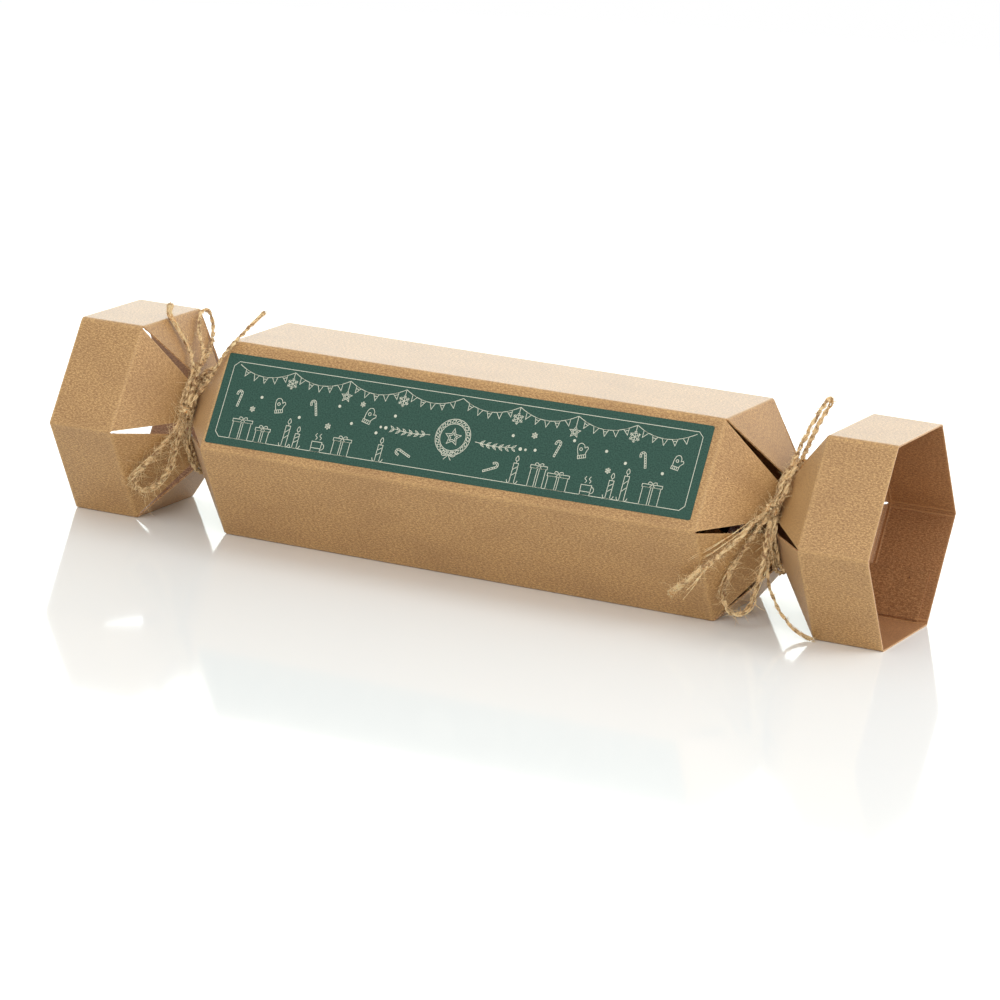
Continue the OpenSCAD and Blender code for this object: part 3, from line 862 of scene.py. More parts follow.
# %% Columns of a panel, and where a point of the flat sheet goes when it is folded
PETAL_ROOT = 25.29
FLAT_HALF, ARC_HALF = 25.307, 0.628
GIRTH = 2 * (FLAT_HALF + ARC_HALF)
SEAM_GAP = 0.05
NEAR_EDGE = [0, 0.012, 0.024, 0.034, 0.044, 0.056, 0.072, 0.105, 0.18]
HALF_COLUMNS = sorted({1 - d for d in NEAR_EDGE} | {0.0, 0.2, 0.4, 0.6})
ARCS = [0.25, 0.5, 0.75, 1.0]
CLOSE_FOLD_R, SOFT_FOLD_R, RING_SOFT_R = 1.2, 2.2, 2.8
COLUMNS = ([(-1.0, a) for a in reversed(ARCS)] + [(-t, 0.0) for t in reversed(HALF_COLUMNS[1:])]
           + [(t, 0.0) for t in HALF_COLUMNS] + [(1.0, a) for a in ARCS])


def corner_radius(panel, sign, x):
    """The folds at the top and the foot of the front are soft; the others are close folds."""
    if (panel == 0 and sign < 0) or (panel == 1 and sign > 0):
        return SOFT_FOLD_R if abs(x) < BODY_HALF + 1 else RING_SOFT_R
    if (panel == 2 and sign < 0) or (panel == 3 and sign > 0):
        return SOFT_FOLD_R
    return CLOSE_FOLD_R


def sleeve_place(panel, t, arc, x):
    """(across, outward) on the folded sleeve; t along the flat, arc past its end."""
    sign = 1 if t >= 0 else -1
    r = corner_radius(panel, sign, x)
    flat, full = (APOTHEM - r) * math.tan(math.pi / 6), 30.0
    if PANELS[panel] == "bottom" and sign < 0:
        full = 60.0
    if PANELS[panel] == "rear_low" and sign > 0:
        flat, full = flat - SEAM_GAP, 0.0
    bend = math.radians(full * arc)
    return sign * (abs(t) * flat + r * math.sin(bend)), APOTHEM - r + r * math.cos(bend)


def petal_half(x):
    """Half the width of a petal at x, from its root at a crease to the neck."""
    root = BODY_HALF if abs(x) < NECK_X else RING_IN
    share = min(1, max(0, (abs(x) - root) / (NECK_X - root)))
    return PETAL_ROOT + (NECK_W / 2 - PETAL_ROOT) * share


def folded_place(panel, row, column):
    """Where a point of the flat sheet lies on the folded cracker, in mm."""
    x, a, petal, _ = row
    t, arc = column
    across, outward = sleeve_place(panel, t, arc, x)
    flat_q = t * FLAT_HALF + math.copysign(ARC_HALF * arc, t)
    y = (1 - petal) * across + petal * flat_q / (FLAT_HALF + ARC_HALF) * petal_half(x)
    z = a if petal == 1 else (1 - petal) * (outward + a - APOTHEM) + petal * a
    turned = math.radians(60 * panel)
    return (x, y * math.cos(turned) - z * math.sin(turned),
            y * math.sin(turned) + z * math.cos(turned) + APOTHEM)


# %% [markdown]
# ## The blank: creases
# A crease is pressed from outside, which rubs the outer face pale and raises a thin rib on either
# side of the fold inside. A bump texture could suggest the rib, but it catches light along its
# whole length and shows at the mouths, so it is real. `mark` carries a pale line to the material,
# partly the rubbed crease and partly a painted highlight along the folds, slit edges, mouths and
# inner ribs, and `rib` says how far an inner point stands up once the sheet has its thickness.

# %% Crease marks and inner ribs
RIB_H, RIB_W, RIB_AT = 0.26, 0.34, 1.0
CREASE_MARK, RIB_MARK = 0.3, 1.2
# How wide a pale line is, in mm, rubbed paper and painted highlight together: along a long fold,
# beside a slit, along a fold across the sheet
LONG_MARK_W, SLIT_MARK_W, CROSS_MARK_W = 0.5, 0.3, 0.6
MOUTH_ZONE = 3.5


def crease_values(row, column):
    """(mark, rib) at a point of the sheet."""
    x, _, petal, fold_gap = row
    t, arc = column
    edge_gap = FLAT_HALF * (1 - abs(t)) if arc == 0 else 0
    # The pale line: partly rubbed paper, partly a painted highlight along folds, slit edges and mouths
    mark = CREASE_MARK * math.exp(-edge_gap / LONG_MARK_W) * (1 - petal)
    if petal > 0.5:
        mark = math.exp(-(edge_gap + (1 - arc) * ARC_HALF) / SLIT_MARK_W)
    if petal < 1 or fold_gap == 0:
        mouth = abs(abs(x) - RING_OUT) < 1
        mark = max(mark, (1 if mouth else CREASE_MARK) * math.exp(-fold_gap / CROSS_MARK_W))
    rib = 0.0
    if petal == 0 and arc == 0:
        rib = RIB_H * math.exp(-((edge_gap - RIB_AT) / RIB_W) ** 2)
    if fold_gap > 0 and abs(abs(x) - RING_OUT) > MOUTH_ZONE:
        rib = max(rib, RIB_H * math.exp(-((fold_gap - RIB_AT) / RIB_W) ** 2))
    return mark, rib


# %% [markdown]
# ## The blank: grids, welded and thickened
# Six grids are moved to their folded places and welded where they meet. The solidify operator
# gives the sheet its thickness and its cut edges in one go, which a hand-made second layer of
# faces would have to match point by point.

# %% Build the sheet
def panel_grid(work, panel, mark, rib, uv):
    """One panel as a grid, moved to its folded place, with its flat place as its UVs."""
    made = bmesh.ops.create_grid(work, x_segments=len(ROWS) - 1, y_segments=len(COLUMNS) - 1, size=1)
    flat = {}
    for k, vert in enumerate(made["verts"]):
        i, j = k % len(ROWS), k // len(ROWS)
        vert.co = Vector(folded_place(panel, ROWS[i], COLUMNS[j])) * MM
        vert[mark], vert[rib] = crease_values(ROWS[i], COLUMNS[j])
        t, arc = COLUMNS[j]
        flat[vert] = (RUN[i], t * FLAT_HALF + math.copysign(ARC_HALF * arc, t) - panel * GIRTH)
    for face in {f for v in made["verts"] for f in v.link_faces}:
        for loop in face.loops:
            loop[uv].uv = flat[loop.vert]


# The inner face's pattern lies this far along, in mm, so that it isn't the outer face's own
INNER_SHIFT = 700.0
SHEET_WELD = 2e-6
# Ribs lower than this, in mm, are left flat
RIB_LEAST = 0.01
# Places in the blank's list of materials, after its outer face
CUT_EDGE, INNER_FACE = 1, 2


def make_blank():
    """The whole sheet: six grids, welded, thickened, ribbed inside, with three materials."""
    work = bmesh.new()
    mark, rib = (work.verts.layers.float.new(key) for key in ("mark", "rib"))
    uv = work.loops.layers.uv.new("flat")
    for panel in range(len(PANELS)):
        panel_grid(work, panel, mark, rib, uv)
    bmesh.ops.remove_doubles(work, verts=work.verts, dist=SHEET_WELD)
    outer = set(work.verts)
    bmesh.ops.solidify(work, geom=work.faces[:], thickness=BOARD_T * MM)
    work.normal_update()
    for vert in work.verts:
        if vert not in outer and vert[rib] > RIB_LEAST:
            faces = [f for f in vert.link_faces if not any(v in outer for v in f.verts)]
            normal = sum((f.normal for f in faces), Vector()).normalized()
            vert.co += normal * vert[rib] * MM
            # The inner ribs get the pale line too, a painted highlight where they stand up
            vert[mark] = max(vert[mark], RIB_MARK * vert[rib] / RIB_H)
    for face in work.faces:
        inside = [v not in outer for v in face.verts]
        if all(inside):
            face.material_index = INNER_FACE
            for loop in face.loops:
                loop[uv].uv.x += INNER_SHIFT
        elif any(inside):
            face.material_index = CUT_EDGE
    print(f"board blank: {len(work.faces)} faces, girth {len(PANELS) * GIRTH:.1f} mm")
    blank = add_piece("board_blank", work, [KRAFT, KRAFT_CUT, KRAFT_INNER_SHADE], sharp=38)
    nodes = ["body_sleeve"] + [f"{s}_ring" for s in SIDES]
    nodes += [f"{s}_{k}_petal_{q}" for s in SIDES for k in ("body", "ring") for q in PANELS]
    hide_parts(*nodes)


make_blank()

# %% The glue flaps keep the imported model's shape and get their paper
FLAPS = ("body_flap", "left_ring_flap", "right_ring_flap")
for flap in FLAPS:
    frame["nodes"][flap].data.materials.clear()
    # The flaps get the darker tint of painted shade, like the inner face
    frame["nodes"][flap].data.materials.append(KRAFT_FLAP_SHADE)
print(f"{len(FLAPS)} glue flaps")


# %% [markdown]
# ## The label
# The label is a rectangle of dark green printed paper with slightly rounded corners, stuck a hair
# askew on the front upper panel. A patch of colour in the board's material could stand for it, but
# paper has an edge that shows from the side. So it is a sheet of its own, drawn flat, in its own
# plane, and one matrix lays it on the panel; its flat millimetres stay behind as its UVs.

# %% The label's paper and ink
LABEL_W, LABEL_T, LABEL_DROP = 43.0, 0.15, 4.8
LABEL_LEFT, LABEL_RIGHT, LABEL_TILT = 1.1, 3.9, 0.4
LABEL_LEN = 2 * BODY_HALF - LABEL_LEFT - LABEL_RIGHT
LABEL_CORNER = 1.0
PANEL_HALF_W = 26.0
LABEL_PLACE = (Matrix.Translation((0, 0, APOTHEM * MM)) @ Matrix.Rotation(math.radians(60), 4, "X")
               @ Matrix.Translation(Vector(((LABEL_LEFT - LABEL_RIGHT) / 2,
                                            PANEL_HALF_W - LABEL_DROP - LABEL_W / 2,
                                            APOTHEM)) * MM)
               @ Matrix.Rotation(math.radians(LABEL_TILT), 4, "Z"))


def make_label_paper():
    """Matt green paper with a fine grain and a faint cloudiness."""
    material, n, shader = new_material("label_paper", Roughness=0.6, Specular_IOR_Level=0.35)
    flat = n.add("ShaderNodeUVMap", uv_map="flat").outputs[0]
    grain, fine, cloud = (n.noise(flat, s, 3.0, 0.72) for s in (1.5, 3.0, 0.05))
    tone = n.blend(n.span(grain, 0.38, 0.62), rgb(28, 62, 52), rgb(53, 91, 77))
    tone = n.blend(n.span(fine, 0.5, 0.7, 0.0, 0.4), tone, rgb(25, 55, 45))
    tone = n.blend(n.span(cloud, 0.4, 0.7, 0.0, 0.25), tone, rgb(36, 78, 64))
    n.feed(shader["Base Color"], tone)
    n.feed(shader["Normal"], bump(n, grain, 0.3, 0.0001))
    return material


def make_ink():
    """Cream ink, a little thin in places."""
    material, n, shader = new_material("cream_print", Roughness=0.6, Specular_IOR_Level=0.3)
    wear = n.span(n.noise(n.object_mm(), 1.3, 3.0, 0.7), 0.35, 0.7)
    n.feed(shader["Base Color"], n.blend(wear, rgb(226, 223, 204), rgb(188, 195, 175)))
    return material


# %% The label's sheet
def make_label():
    """The label's sheet on its panel."""
    work = bmesh.new()
    bmesh.ops.create_grid(work, x_segments=1, y_segments=1, size=0.5)
    bmesh.ops.scale(work, vec=Vector((LABEL_LEN, LABEL_W, 1)) * MM, verts=work.verts)
    bmesh.ops.bevel(work, geom=work.verts[:], offset=LABEL_CORNER * MM, offset_type="OFFSET",
                    segments=6, profile=0.5, affect="VERTICES", material=-1)
    bmesh.ops.translate(work, vec=(0, 0, LABEL_T * MM), verts=work.verts)
    bmesh.ops.solidify(work, geom=work.faces[:], thickness=LABEL_T * MM)
    uv = work.loops.layers.uv.new("flat")
    for face in work.faces:
        for loop in face.loops:
            loop[uv].uv = (loop.vert.co.x / MM, (loop.vert.co.y + loop.vert.co.z) / MM)
    bmesh.ops.transform(work, matrix=LABEL_PLACE, verts=work.verts)
    bmesh.ops.recalc_face_normals(work, faces=work.faces)
    sheet = add_piece("label_paper_sheet", work, [make_label_paper()], sharp=30)
    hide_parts("label")
    print(f"label {LABEL_LEN:.1f} by {LABEL_W:.1f} mm")


make_label()


# %% [markdown]
# ## The print: strokes and small motifs
# The print is a generic winter pattern in thin cream lines. A picture file would need to be loaded
# and blurs close up, so the lines are drawn here. A line drawing is a list of strokes, each a chain
# of points in the label's flat millimetres, and every motif is a few short strokes that can be
# moved, sized and turned.

# %% Strokes
INK_W = 0.28
strokes = []


def stroke(points, closed=False, width=INK_W):
    """Add one stroke to the drawing."""
    strokes.append((np.array(points, float), closed, width))


def moved(points, u, v, size=1.0, turn=0.0):
    """Points sized and turned about 0, then moved to u, v."""
    c, s = math.cos(math.radians(turn)), math.sin(math.radians(turn))
    p = np.array(points, float) * size
    return np.column_stack([u + p[:, 0] * c - p[:, 1] * s, v + p[:, 0] * s + p[:, 1] * c])


def arc(u, v, r, begin, end, steps):
    """Points round u, v from one angle to another, in degrees."""
    a = np.radians(np.linspace(begin, end, steps))
    return np.column_stack([u + r * np.cos(a), v + r * np.sin(a)])


def smooth_flat(points):
    """A smooth line through a few points."""
    line, _ = smooth_route([(a, b, 0) for a, b in points], 0.25)
    return line[:, :2]


def dot(u, v, r):
    """A ring whose line is wide enough to fill it."""
    stroke(arc(u, v, r / 2, 0, 360, 9)[:-1], True, r)


# %% Stars, flakes, canes and bows
STAR_POINTS, STAR_INNER = 5, 0.45
FLAKE_ARMS = 6


def star(u, v, r):
    corner = np.arange(2 * STAR_POINTS)
    a = np.radians(90 + corner * 180 / STAR_POINTS)
    reach = np.where(corner % 2 == 0, r, r * STAR_INNER)
    stroke(np.column_stack([u + reach * np.cos(a), v + reach * np.sin(a)]), True)


def flake(u, v, r):
    for k in range(FLAKE_ARMS):
        stroke(moved([(0, 0), (r, 0)], u, v, 1, 60 * k + 30))
        for at, reach in ((0.45, 0.3), (0.72, 0.22)):
            tip = r * (at + reach * 0.6)
            stroke(moved([(tip, r * reach), (r * at, 0), (tip, -r * reach)], u, v, 1, 60 * k + 30))


def cane(u, v, size, lean):
    outer = np.vstack([[(1.1, -5)], arc(-0.6, 2.2, 1.7, 0, 180, 10), [(-2.3, 1.2)]])
    inner = np.vstack([[(0.2, -5)], arc(-0.6, 2.2, 0.8, 0, 180, 8), [(-1.4, 1.2)]])
    stroke(moved(np.vstack([outer, inner[::-1]]), u, v, size, lean), True)
    for k in range(5):
        y = -4.1 + 1.35 * k
        stroke(moved([(0.2, y), (1.1, y + 0.6)], u, v, size, lean))
    for a in (50, 110, 160):
        c, s = math.cos(math.radians(a)), math.sin(math.radians(a))
        band = [(-0.6 + r * c, 2.2 + r * s) for r in (0.8, 1.7)]
        stroke(moved(band, u, v, size, lean))


def ribbon_bow(u, v, size):
    for side in (-1, 1):
        loop = [(0, 0), (side * 0.9, 0.9), (side * 2.0, 0.95), (side * 2.2, 0.1),
                (side * 1.6, -0.35), (0, 0)]
        stroke(moved(smooth_flat(loop), u, v, size))
        stroke(moved([(0, 0), (side * 0.7, -0.9), (side * 1.2, -1.5)], u, v, size))


# %% Gifts, candles, mittens, mugs and sprigs
CANDLE_R = 1.1


def box_outline(u, v, w, h):
    """A rectangle of width w that stands on u, v."""
    stroke([(u - w / 2, v), (u + w / 2, v), (u + w / 2, v + h), (u - w / 2, v + h)], True)


def gift(u, v, w, h):
    box_outline(u, v, w, h)
    box_outline(u, v + h, w + 1, 1.3)
    for x in (-0.5, 0.5):
        stroke([(u + x, v), (u + x, v + h)])
    ribbon_bow(u, v + h + 1.5, 0.9)


def candle(u, v, h):
    r = CANDLE_R
    stroke([(u - r, v), (u - r, v + h), (u + r, v + h), (u + r, v)])
    stroke([(u, v + h), (u, v + h + 0.8)])
    flame = [(u, v + h + 0.8), (u + 0.75, v + h + 1.7), (u, v + h + 3.4), (u - 0.75, v + h + 1.7)]
    stroke(smooth_flat(flame + flame[:1]))
    stroke(smooth_flat([(u - 2.6, v + 1.2), (u - 2.0, v), (u + 2.0, v), (u + 2.6, v + 1.2)]))
    for share in (0.35, 0.65):
        stroke([(u - r, v + h * share), (u + r, v + h * (share + 0.2))])


def mitten(u, v, size, lean):
    hand = smooth_flat([(-1.7, 0), (-1.9, 3.2), (-1.2, 5.3), (0.3, 5.7), (1.5, 4.6), (1.7, 3.1)])
    thumb = smooth_flat([(1.7, 3.1), (2.8, 3.6), (3.3, 2.7), (2.4, 1.5), (1.6, 0)])
    stroke(moved(np.vstack([hand, thumb]), u, v, size, lean))
    stroke(moved([(-2.0, 0), (1.9, 0), (1.9, -1.5), (-2.0, -1.5)], u, v, size, lean), True)
    for x in (-1.1, -0.1, 0.9):
        stroke(moved([(x, 0), (x, -1.5)], u, v, size, lean))
    stroke(moved(arc(-0.2, 2.9, 0.7, 0, 360, 10), u, v, size, lean), True)


def mug(u, v, size):
    stroke(moved([(-2.2, 4), (-2.0, 0), (2.0, 0), (2.2, 4)], u, v, size), True)
    stroke(moved(arc(2.1, 2.2, 1.3, 80, -80, 9), u, v, size))
    stroke(moved([(-2.1, 1.4), (2.1, 1.4)], u, v, size))
    for x in (-0.9, 0.9):
        steam = smooth_flat([(x, 4.8), (x + 0.5, 5.6), (x - 0.4, 6.5), (x + 0.2, 7.4)])
        stroke(moved(steam, u, v, size))


def sprig(u, v, length, leaves, lean, flip):
    """A stem with leaves in pairs; flip is 1 or -1, for the side to which it bends."""
    stem = smooth_flat([(0, 0), (length * 0.5, flip * 0.7), (length, flip * -0.2)])
    stroke(moved(stem, u, v, 1, lean))
    for k in range(leaves):
        at = (k + 0.8) / leaves * length * 0.96
        rise = flip * (0.7 * math.sin(math.pi * at / length))
        for side in (-1, 1):
            leaf = [(0, 0), (0.9, side * 0.95), (2.2, side * 1.5), (1.6, side * 0.5), (0, 0)]
            stroke(moved(moved(leaf, at, rise, 0.95), u, v, 1, lean))


# %% [markdown]
# ## The print: layout
# A thin line with clipped corners frames the print. A garland of pennants hangs from it, gifts,
# candles and mugs stand along its foot, and a wreath between two sprigs fills the middle. The small
# things could be strewn at random, but then some would touch, so their places are listed.

# %% Frame line and garland
EDGE_U, EDGE_V, CLIP = LABEL_LEN / 2 - 4.0, LABEL_W / 2 - 3.6, 2.2
SAG = 4.2
HOOKS, PENNANTS = 9, 6
GARLAND_V = EDGE_V - 1.2


def on_swag(a, b, t):
    """The place at share t of the swag between hooks a and b."""
    return a + (b - a) * t, GARLAND_V - SAG * 4 * t * (1 - t)


def draw_garland():
    """The frame line, the swags with their pennants, and what hangs from the hooks."""
    outline = []
    for su, sv in ((1, 1), (-1, 1), (-1, -1), (1, -1)):
        corner = [(su * EDGE_U, sv * (EDGE_V - CLIP)), (su * (EDGE_U - CLIP), sv * EDGE_V)]
        outline += corner if su * sv > 0 else corner[::-1]
    stroke(outline, True)
    hooks = np.linspace(-EDGE_U + 3, EDGE_U - 3, HOOKS)
    for k, (a, b) in enumerate(zip(hooks, hooks[1:])):
        stroke(np.column_stack(on_swag(a, b, np.linspace(0, 1, 22))))
        for i in range(1, PENNANTS):
            t = i / PENNANTS
            u, v = on_swag(a, b, t)
            slope = math.degrees(math.atan2(-SAG * 4 * (1 - 2 * t), b - a))
            stroke(moved([(-1.3, 0), (1.3, 0), (0, -3.0)], u, v, 1, slope), True)
            if (i + k) % 2:
                stroke(moved([(-0.65, -0.9), (0.65, -0.9)], u, v, 1, slope))
    for k, u in enumerate(hooks[1:-1]):
        # Nothing hangs from the middle hook, since the wreath is under it
        if abs(u) > 10:
            v = EDGE_V - (8.5 if k % 2 else 6.5)
            stroke([(u, GARLAND_V), (u, v + 2.6)])
            if k % 2:
                star(u, v, 2.7)
                star(u, v, 1.3)
            else:
                flake(u, v, 2.8)


# %% Wreath and sprigs
WREATH_V, WREATH_IN, WREATH_OUT = -1.5, 6.2, 8.4
LEAVES, LEAVES_R = 18, 7.3


def draw_wreath():
    """A ring of leaves with a bow and a star, between two sprigs."""
    for ring_r in (WREATH_IN, WREATH_OUT):
        stroke(arc(0, WREATH_V, ring_r, 0, 360, 40)[:-1], True)
    leaf = [(-1.1, 0), (0, 0.75), (1.3, 0), (0, -0.75)]
    for k in range(LEAVES):
        a = 360 / LEAVES * k
        c, s = math.cos(math.radians(a)), math.sin(math.radians(a))
        stroke(moved(leaf, LEAVES_R * c, WREATH_V + LEAVES_R * s, 1, a + 115), True)
    ribbon_bow(0, -9.8, 1.5)
    for r in (4.0, 2.2):
        star(0, WREATH_V, r)
    for side in (-1, 1):
        sprig(side * 11.0, -2.0, 19, 6, 180 if side < 0 else 0, flip=-side)
        dot(side * 33, -2.0, 0.8)
        dot(side * 35.5, -2.0, 0.6)


# %% The row along the foot, and the small things above it
GIFTS = ((-103, 9, 8), (-92, 6.5, 5.5), (-52, 8, 6.5), (44, 7, 8.5), (54, 9.5, 6), (98, 8.5, 8))
CANDLES = ((-80, 9.5), (-74.5, 6.5), (-33, 7.5), (33, 9), (79, 8), (85.5, 11))
MUGS = (-64, 68)
MITTENS = ((-87, -1.5, 0.95, 12), (-43, 0.2, 1.0, -14), (62, -0.4, 0.95, 16), (106, 1.0, 0.9, -10))
CANES = ((-70, 2.4, 18), (-108, 1.5, -8), (50, 1.2, -16), (91, 2.2, 14), (-22, -12.2, 66),
         (22, -12.2, -66))
DOTS = ((-97, 3), (-76, -3.5), (-58, 4.5), (-50, -2.5), (-30, 4), (28, 3.5), (40, -1.5), (73, 3),
        (83, -1), (101, -3), (-37, -5), (57, 5.5))
FLAKES = ((-61, -5.5, 1.5), (38, 5.0, 1.5), (76, -5.5, 1.4), (-100, -3.0, 1.4), (-47, 7.0, 1.3))


def draw_small_things():
    """Everything that is listed by its place, from the frame line's foot upwards."""
    base = -EDGE_V
    for u, w, h in GIFTS:
        gift(u, base, w, h)
    for u, h in CANDLES:
        candle(u, base + 0.3, h)
    for u in MUGS:
        mug(u, base, 1.15)
    for u, v, size, lean in MITTENS:
        mitten(u, v, size, lean)
    for u, v, lean in CANES:
        cane(u, v, 0.85, lean)
    for u, v in DOTS:
        dot(u, v, 0.7)
    for u, v, r in FLAKES:
        flake(u, v, r)


# %% [markdown]
# ## The print: ink
# Ink is a thin film. A bevelled curve would make round cords of the strokes, so each one becomes a
# flat ribbon just proud of the paper: the chains of points are drawn as loose edges on one side of
# their lines, and extruding those edges gives all the ribbons at once.

# %% Ribbons of ink
INK_LIFT = 0.035


def stroke_sides(line, closed, width):
    """The two sides of a stroke, mitred at its corners."""
    ahead = np.roll(line, -1, 0) - line
    if not closed:
        ahead[-1] = ahead[-2]
    ahead /= np.maximum(np.linalg.norm(ahead, axis=1), 1e-9)[:, None]
    behind = np.roll(ahead, 1, 0)
    if not closed:
        behind[0] = ahead[0]
    normals = np.column_stack([-ahead[:, 1] - behind[:, 1], ahead[:, 0] + behind[:, 0]])
    normals /= np.maximum(np.linalg.norm(normals, axis=1), 1e-6)[:, None]
    cosine = np.sum(normals * np.column_stack([-ahead[:, 1], ahead[:, 0]]), axis=1)
    reach = normals * (np.clip(1 / np.maximum(cosine, 0.3), 1, 2.2) * width / 2)[:, None]
    return line - reach, line + reach


def print_strokes():
    """All strokes as one mesh of ribbons on the label."""
    work = bmesh.new()
    key = work.verts.layers.int.new("place")
    far_side = []
    for line, closed, width in strokes:
        near, far = stroke_sides(line, closed, width)
        chain = []
        for (u, v), other in zip(near, far):
            vert = work.verts.new((u * MM, v * MM, (LABEL_T + INK_LIFT) * MM))
            vert[key] = len(far_side)
            far_side.append(other)
            chain.append(vert)
        for a, b in zip(chain, chain[1:] + chain[:1] if closed else chain[1:]):
            work.edges.new((a, b))
    made = bmesh.ops.extrude_edge_only(work, edges=work.edges[:])["geom"]
    for vert in (v for v in made if isinstance(v, bmesh.types.BMVert)):
        vert.co.x, vert.co.y = far_side[vert[key]] * MM
    bmesh.ops.transform(work, matrix=LABEL_PLACE, verts=work.verts)
    outward = LABEL_PLACE.to_3x3() @ Vector((0, 0, 1))
    work.normal_update()
    bmesh.ops.reverse_faces(work, faces=[f for f in work.faces if f.normal.dot(outward) < 0])
    add_piece("label_print", work, [make_ink()])
    print(f"print: {len(strokes)} strokes")


draw_garland()
draw_wreath()
draw_small_things()
print_strokes()


# %% [markdown]
# ## Wrapped sweets
# Each sweet is a ball in film that is twisted and fanned out at both ends. A cloth simulation would
# crease film more truly, but it is slow, and here only a glimpse of the sweets is seen. A spun
# profile gives the round form in one step; a few waves then press pleats and creases into it, and
# the film gets its thickness last. Crinkles in the shader break up its shine.

# %% The film
FILM_RELIEF = 0.0008


def make_film_group():
    """Colour, height and roughness of crinkled film. Place is in mm."""
    n, given, out = new_group("crinkled_film", {"Place": "NodeSocketVector", "Pale": "NodeSocketColor",
                              "Deep": "NodeSocketColor"},
                              {"Color": "NodeSocketColor", "Height": "NodeSocketFloat",
                               "Roughness": "NodeSocketFloat"})
    cells = n.add("ShaderNodeTexVoronoi", {"Vector": given["Place"], "Scale": 0.28})
    creases = n.noise(given["Place"], 0.35, 4.0, 0.7)
    n.feed(out["Color"], n.blend(n.span(creases, 0.3, 0.7), given["Pale"], given["Deep"]))
    n.feed(out["Height"], n.maths("ADD", cells.outputs["Distance"], creases))
    n.feed(out["Roughness"], n.span(creases, 0.3, 0.7, 0.2, 0.42))
    return n.tree


FILM_GROUP = make_film_group()


def make_film(name, pale, deep, metal):
    """Wrapping film between two tones, as metallic as metal says."""
    material, n, shader = new_material(name, Metallic=metal, Specular_IOR_Level=0.6)
    film = placed_group(n, FILM_GROUP, {"Place": n.object_mm(), "Pale": pale, "Deep": deep})
    n.feed(shader["Base Color"], film["Color"])
    n.feed(shader["Roughness"], film["Roughness"])
    n.feed(shader["Normal"], bump(n, film["Height"], 0.9, FILM_RELIEF))
    return material


FILMS = {"gold_wrap": make_film("gold_film", rgb(238, 206, 110), rgb(176, 128, 44), 0.9),
         "brown_wrap": make_film("brown_film", rgb(96, 52, 38), rgb(46, 22, 16), 0.45)}
print(f"films: {', '.join(FILMS)}")


# %% A sweet's outline, from its middle to one tip
BALL_R = 13.5
FILM_T = 0.08
# Share of the way from ball to tip, radius, pleating
TWIST = ((0.12, 4.3, 0.5), (0.2, 3.1, 0.5), (0.33, 2.5, 0.5), (0.45, 3.3, 0.8), (0.67, 6.3, 1),
         (0.84, 8.0, 1), (1.0, 9.4, 1))
# Place along the axis, radius, pleating
CROWN = ((0, BALL_R, 0), (3, 13.15, 0), (6, 12.1, 0), (8.5, 10.5, 0), (10.5, 8.5, 0.15),
         (12, 6.3, 0.3))
SPIN_STEPS = 48


def spun_sweet(half_len):
    """A round sweet of the given half length, in mm, whose layer pleat says how pleated it is."""
    out = half_len - BALL_R
    stations = list(CROWN) + [(BALL_R + share * out, r, pleat) for share, r, pleat in TWIST]
    profile = [(-x, r, p) for x, r, p in reversed(stations[1:])] + stations
    work = bmesh.new()
    pleats = work.verts.layers.float.new("pleat")
    chain = []
    for x, r, pleat in profile:
        chain.append(work.verts.new((x, r, 0)))
        chain[-1][pleats] = pleat
    edges = [work.edges.new(pair) for pair in zip(chain, chain[1:])]
    bmesh.ops.spin(work, geom=chain + edges, cent=(0, 0, 0), axis=(1, 0, 0), angle=2 * math.pi,
                   steps=SPIN_STEPS, use_merge=True)
    return work, pleats


# %% Pleats, creases and the sweets themselves
PLEAT_DEEP, PLEAT_FINE, CREASE_DEEP, TUCK = 0.13, 0.05, 0.02, 0.02
PLEAT_TWIST = 5.4
NOTCH = 0.8


def creased(place, pleat, half_len, waves):
    """Where a point of the round sweet goes once the film is pleated and creased."""
    x, a, r = place.x, math.atan2(place.z, place.y), math.hypot(place.y, place.z)
    twist = PLEAT_TWIST * pleat * math.copysign(1, x)
    fold = pleat * (PLEAT_DEEP * math.cos(9 * a + twist + waves[0])
                    + PLEAT_FINE * math.cos(17 * a + waves[1]))
    crease = (CREASE_DEEP * math.cos(7 * a + 0.7 * x + waves[2])
              * math.cos(5 * a - 0.5 * x + waves[3]))
    r = min(r * (1 + fold - TUCK + crease * (1 - pleat)), BALL_R - 0.05)
    if abs(x) > half_len - 0.01:
        x -= math.copysign(NOTCH * abs(math.cos(5 * a + waves[1])), x)
    return Vector((x, r * math.cos(a), r * math.sin(a)))


def make_sweet(node, slot, seed):
    """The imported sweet's outline with creases and pleats, in the same place."""
    low, high = (np.array(corner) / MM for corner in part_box(node))
    middle, half_len = (low + high) / 2, (high - low)[0] / 2
    work, pleats = spun_sweet(half_len)
    waves = np.random.default_rng(seed).uniform(0, 6.28, 4)
    for vert in work.verts:
        vert.co = (creased(vert.co, vert[pleats], half_len, waves) + Vector(middle)) * MM
    bmesh.ops.recalc_face_normals(work, faces=work.faces)
    bmesh.ops.solidify(work, geom=work.faces[:], thickness=FILM_T * MM)
    piece = add_piece(node + "_film", work, [FILMS[slot]])
    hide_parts(node)


slots = {s["node"]: s["material_slot"] for s in frame["record"]["subparts"]}
SWEETS = sorted(n for n in frame["nodes"] if n.startswith("sweet_"))
for number, node in enumerate(SWEETS):
    make_sweet(node, slots[node], 400 + number)
print(f"{len(SWEETS)} wrapped sweets")


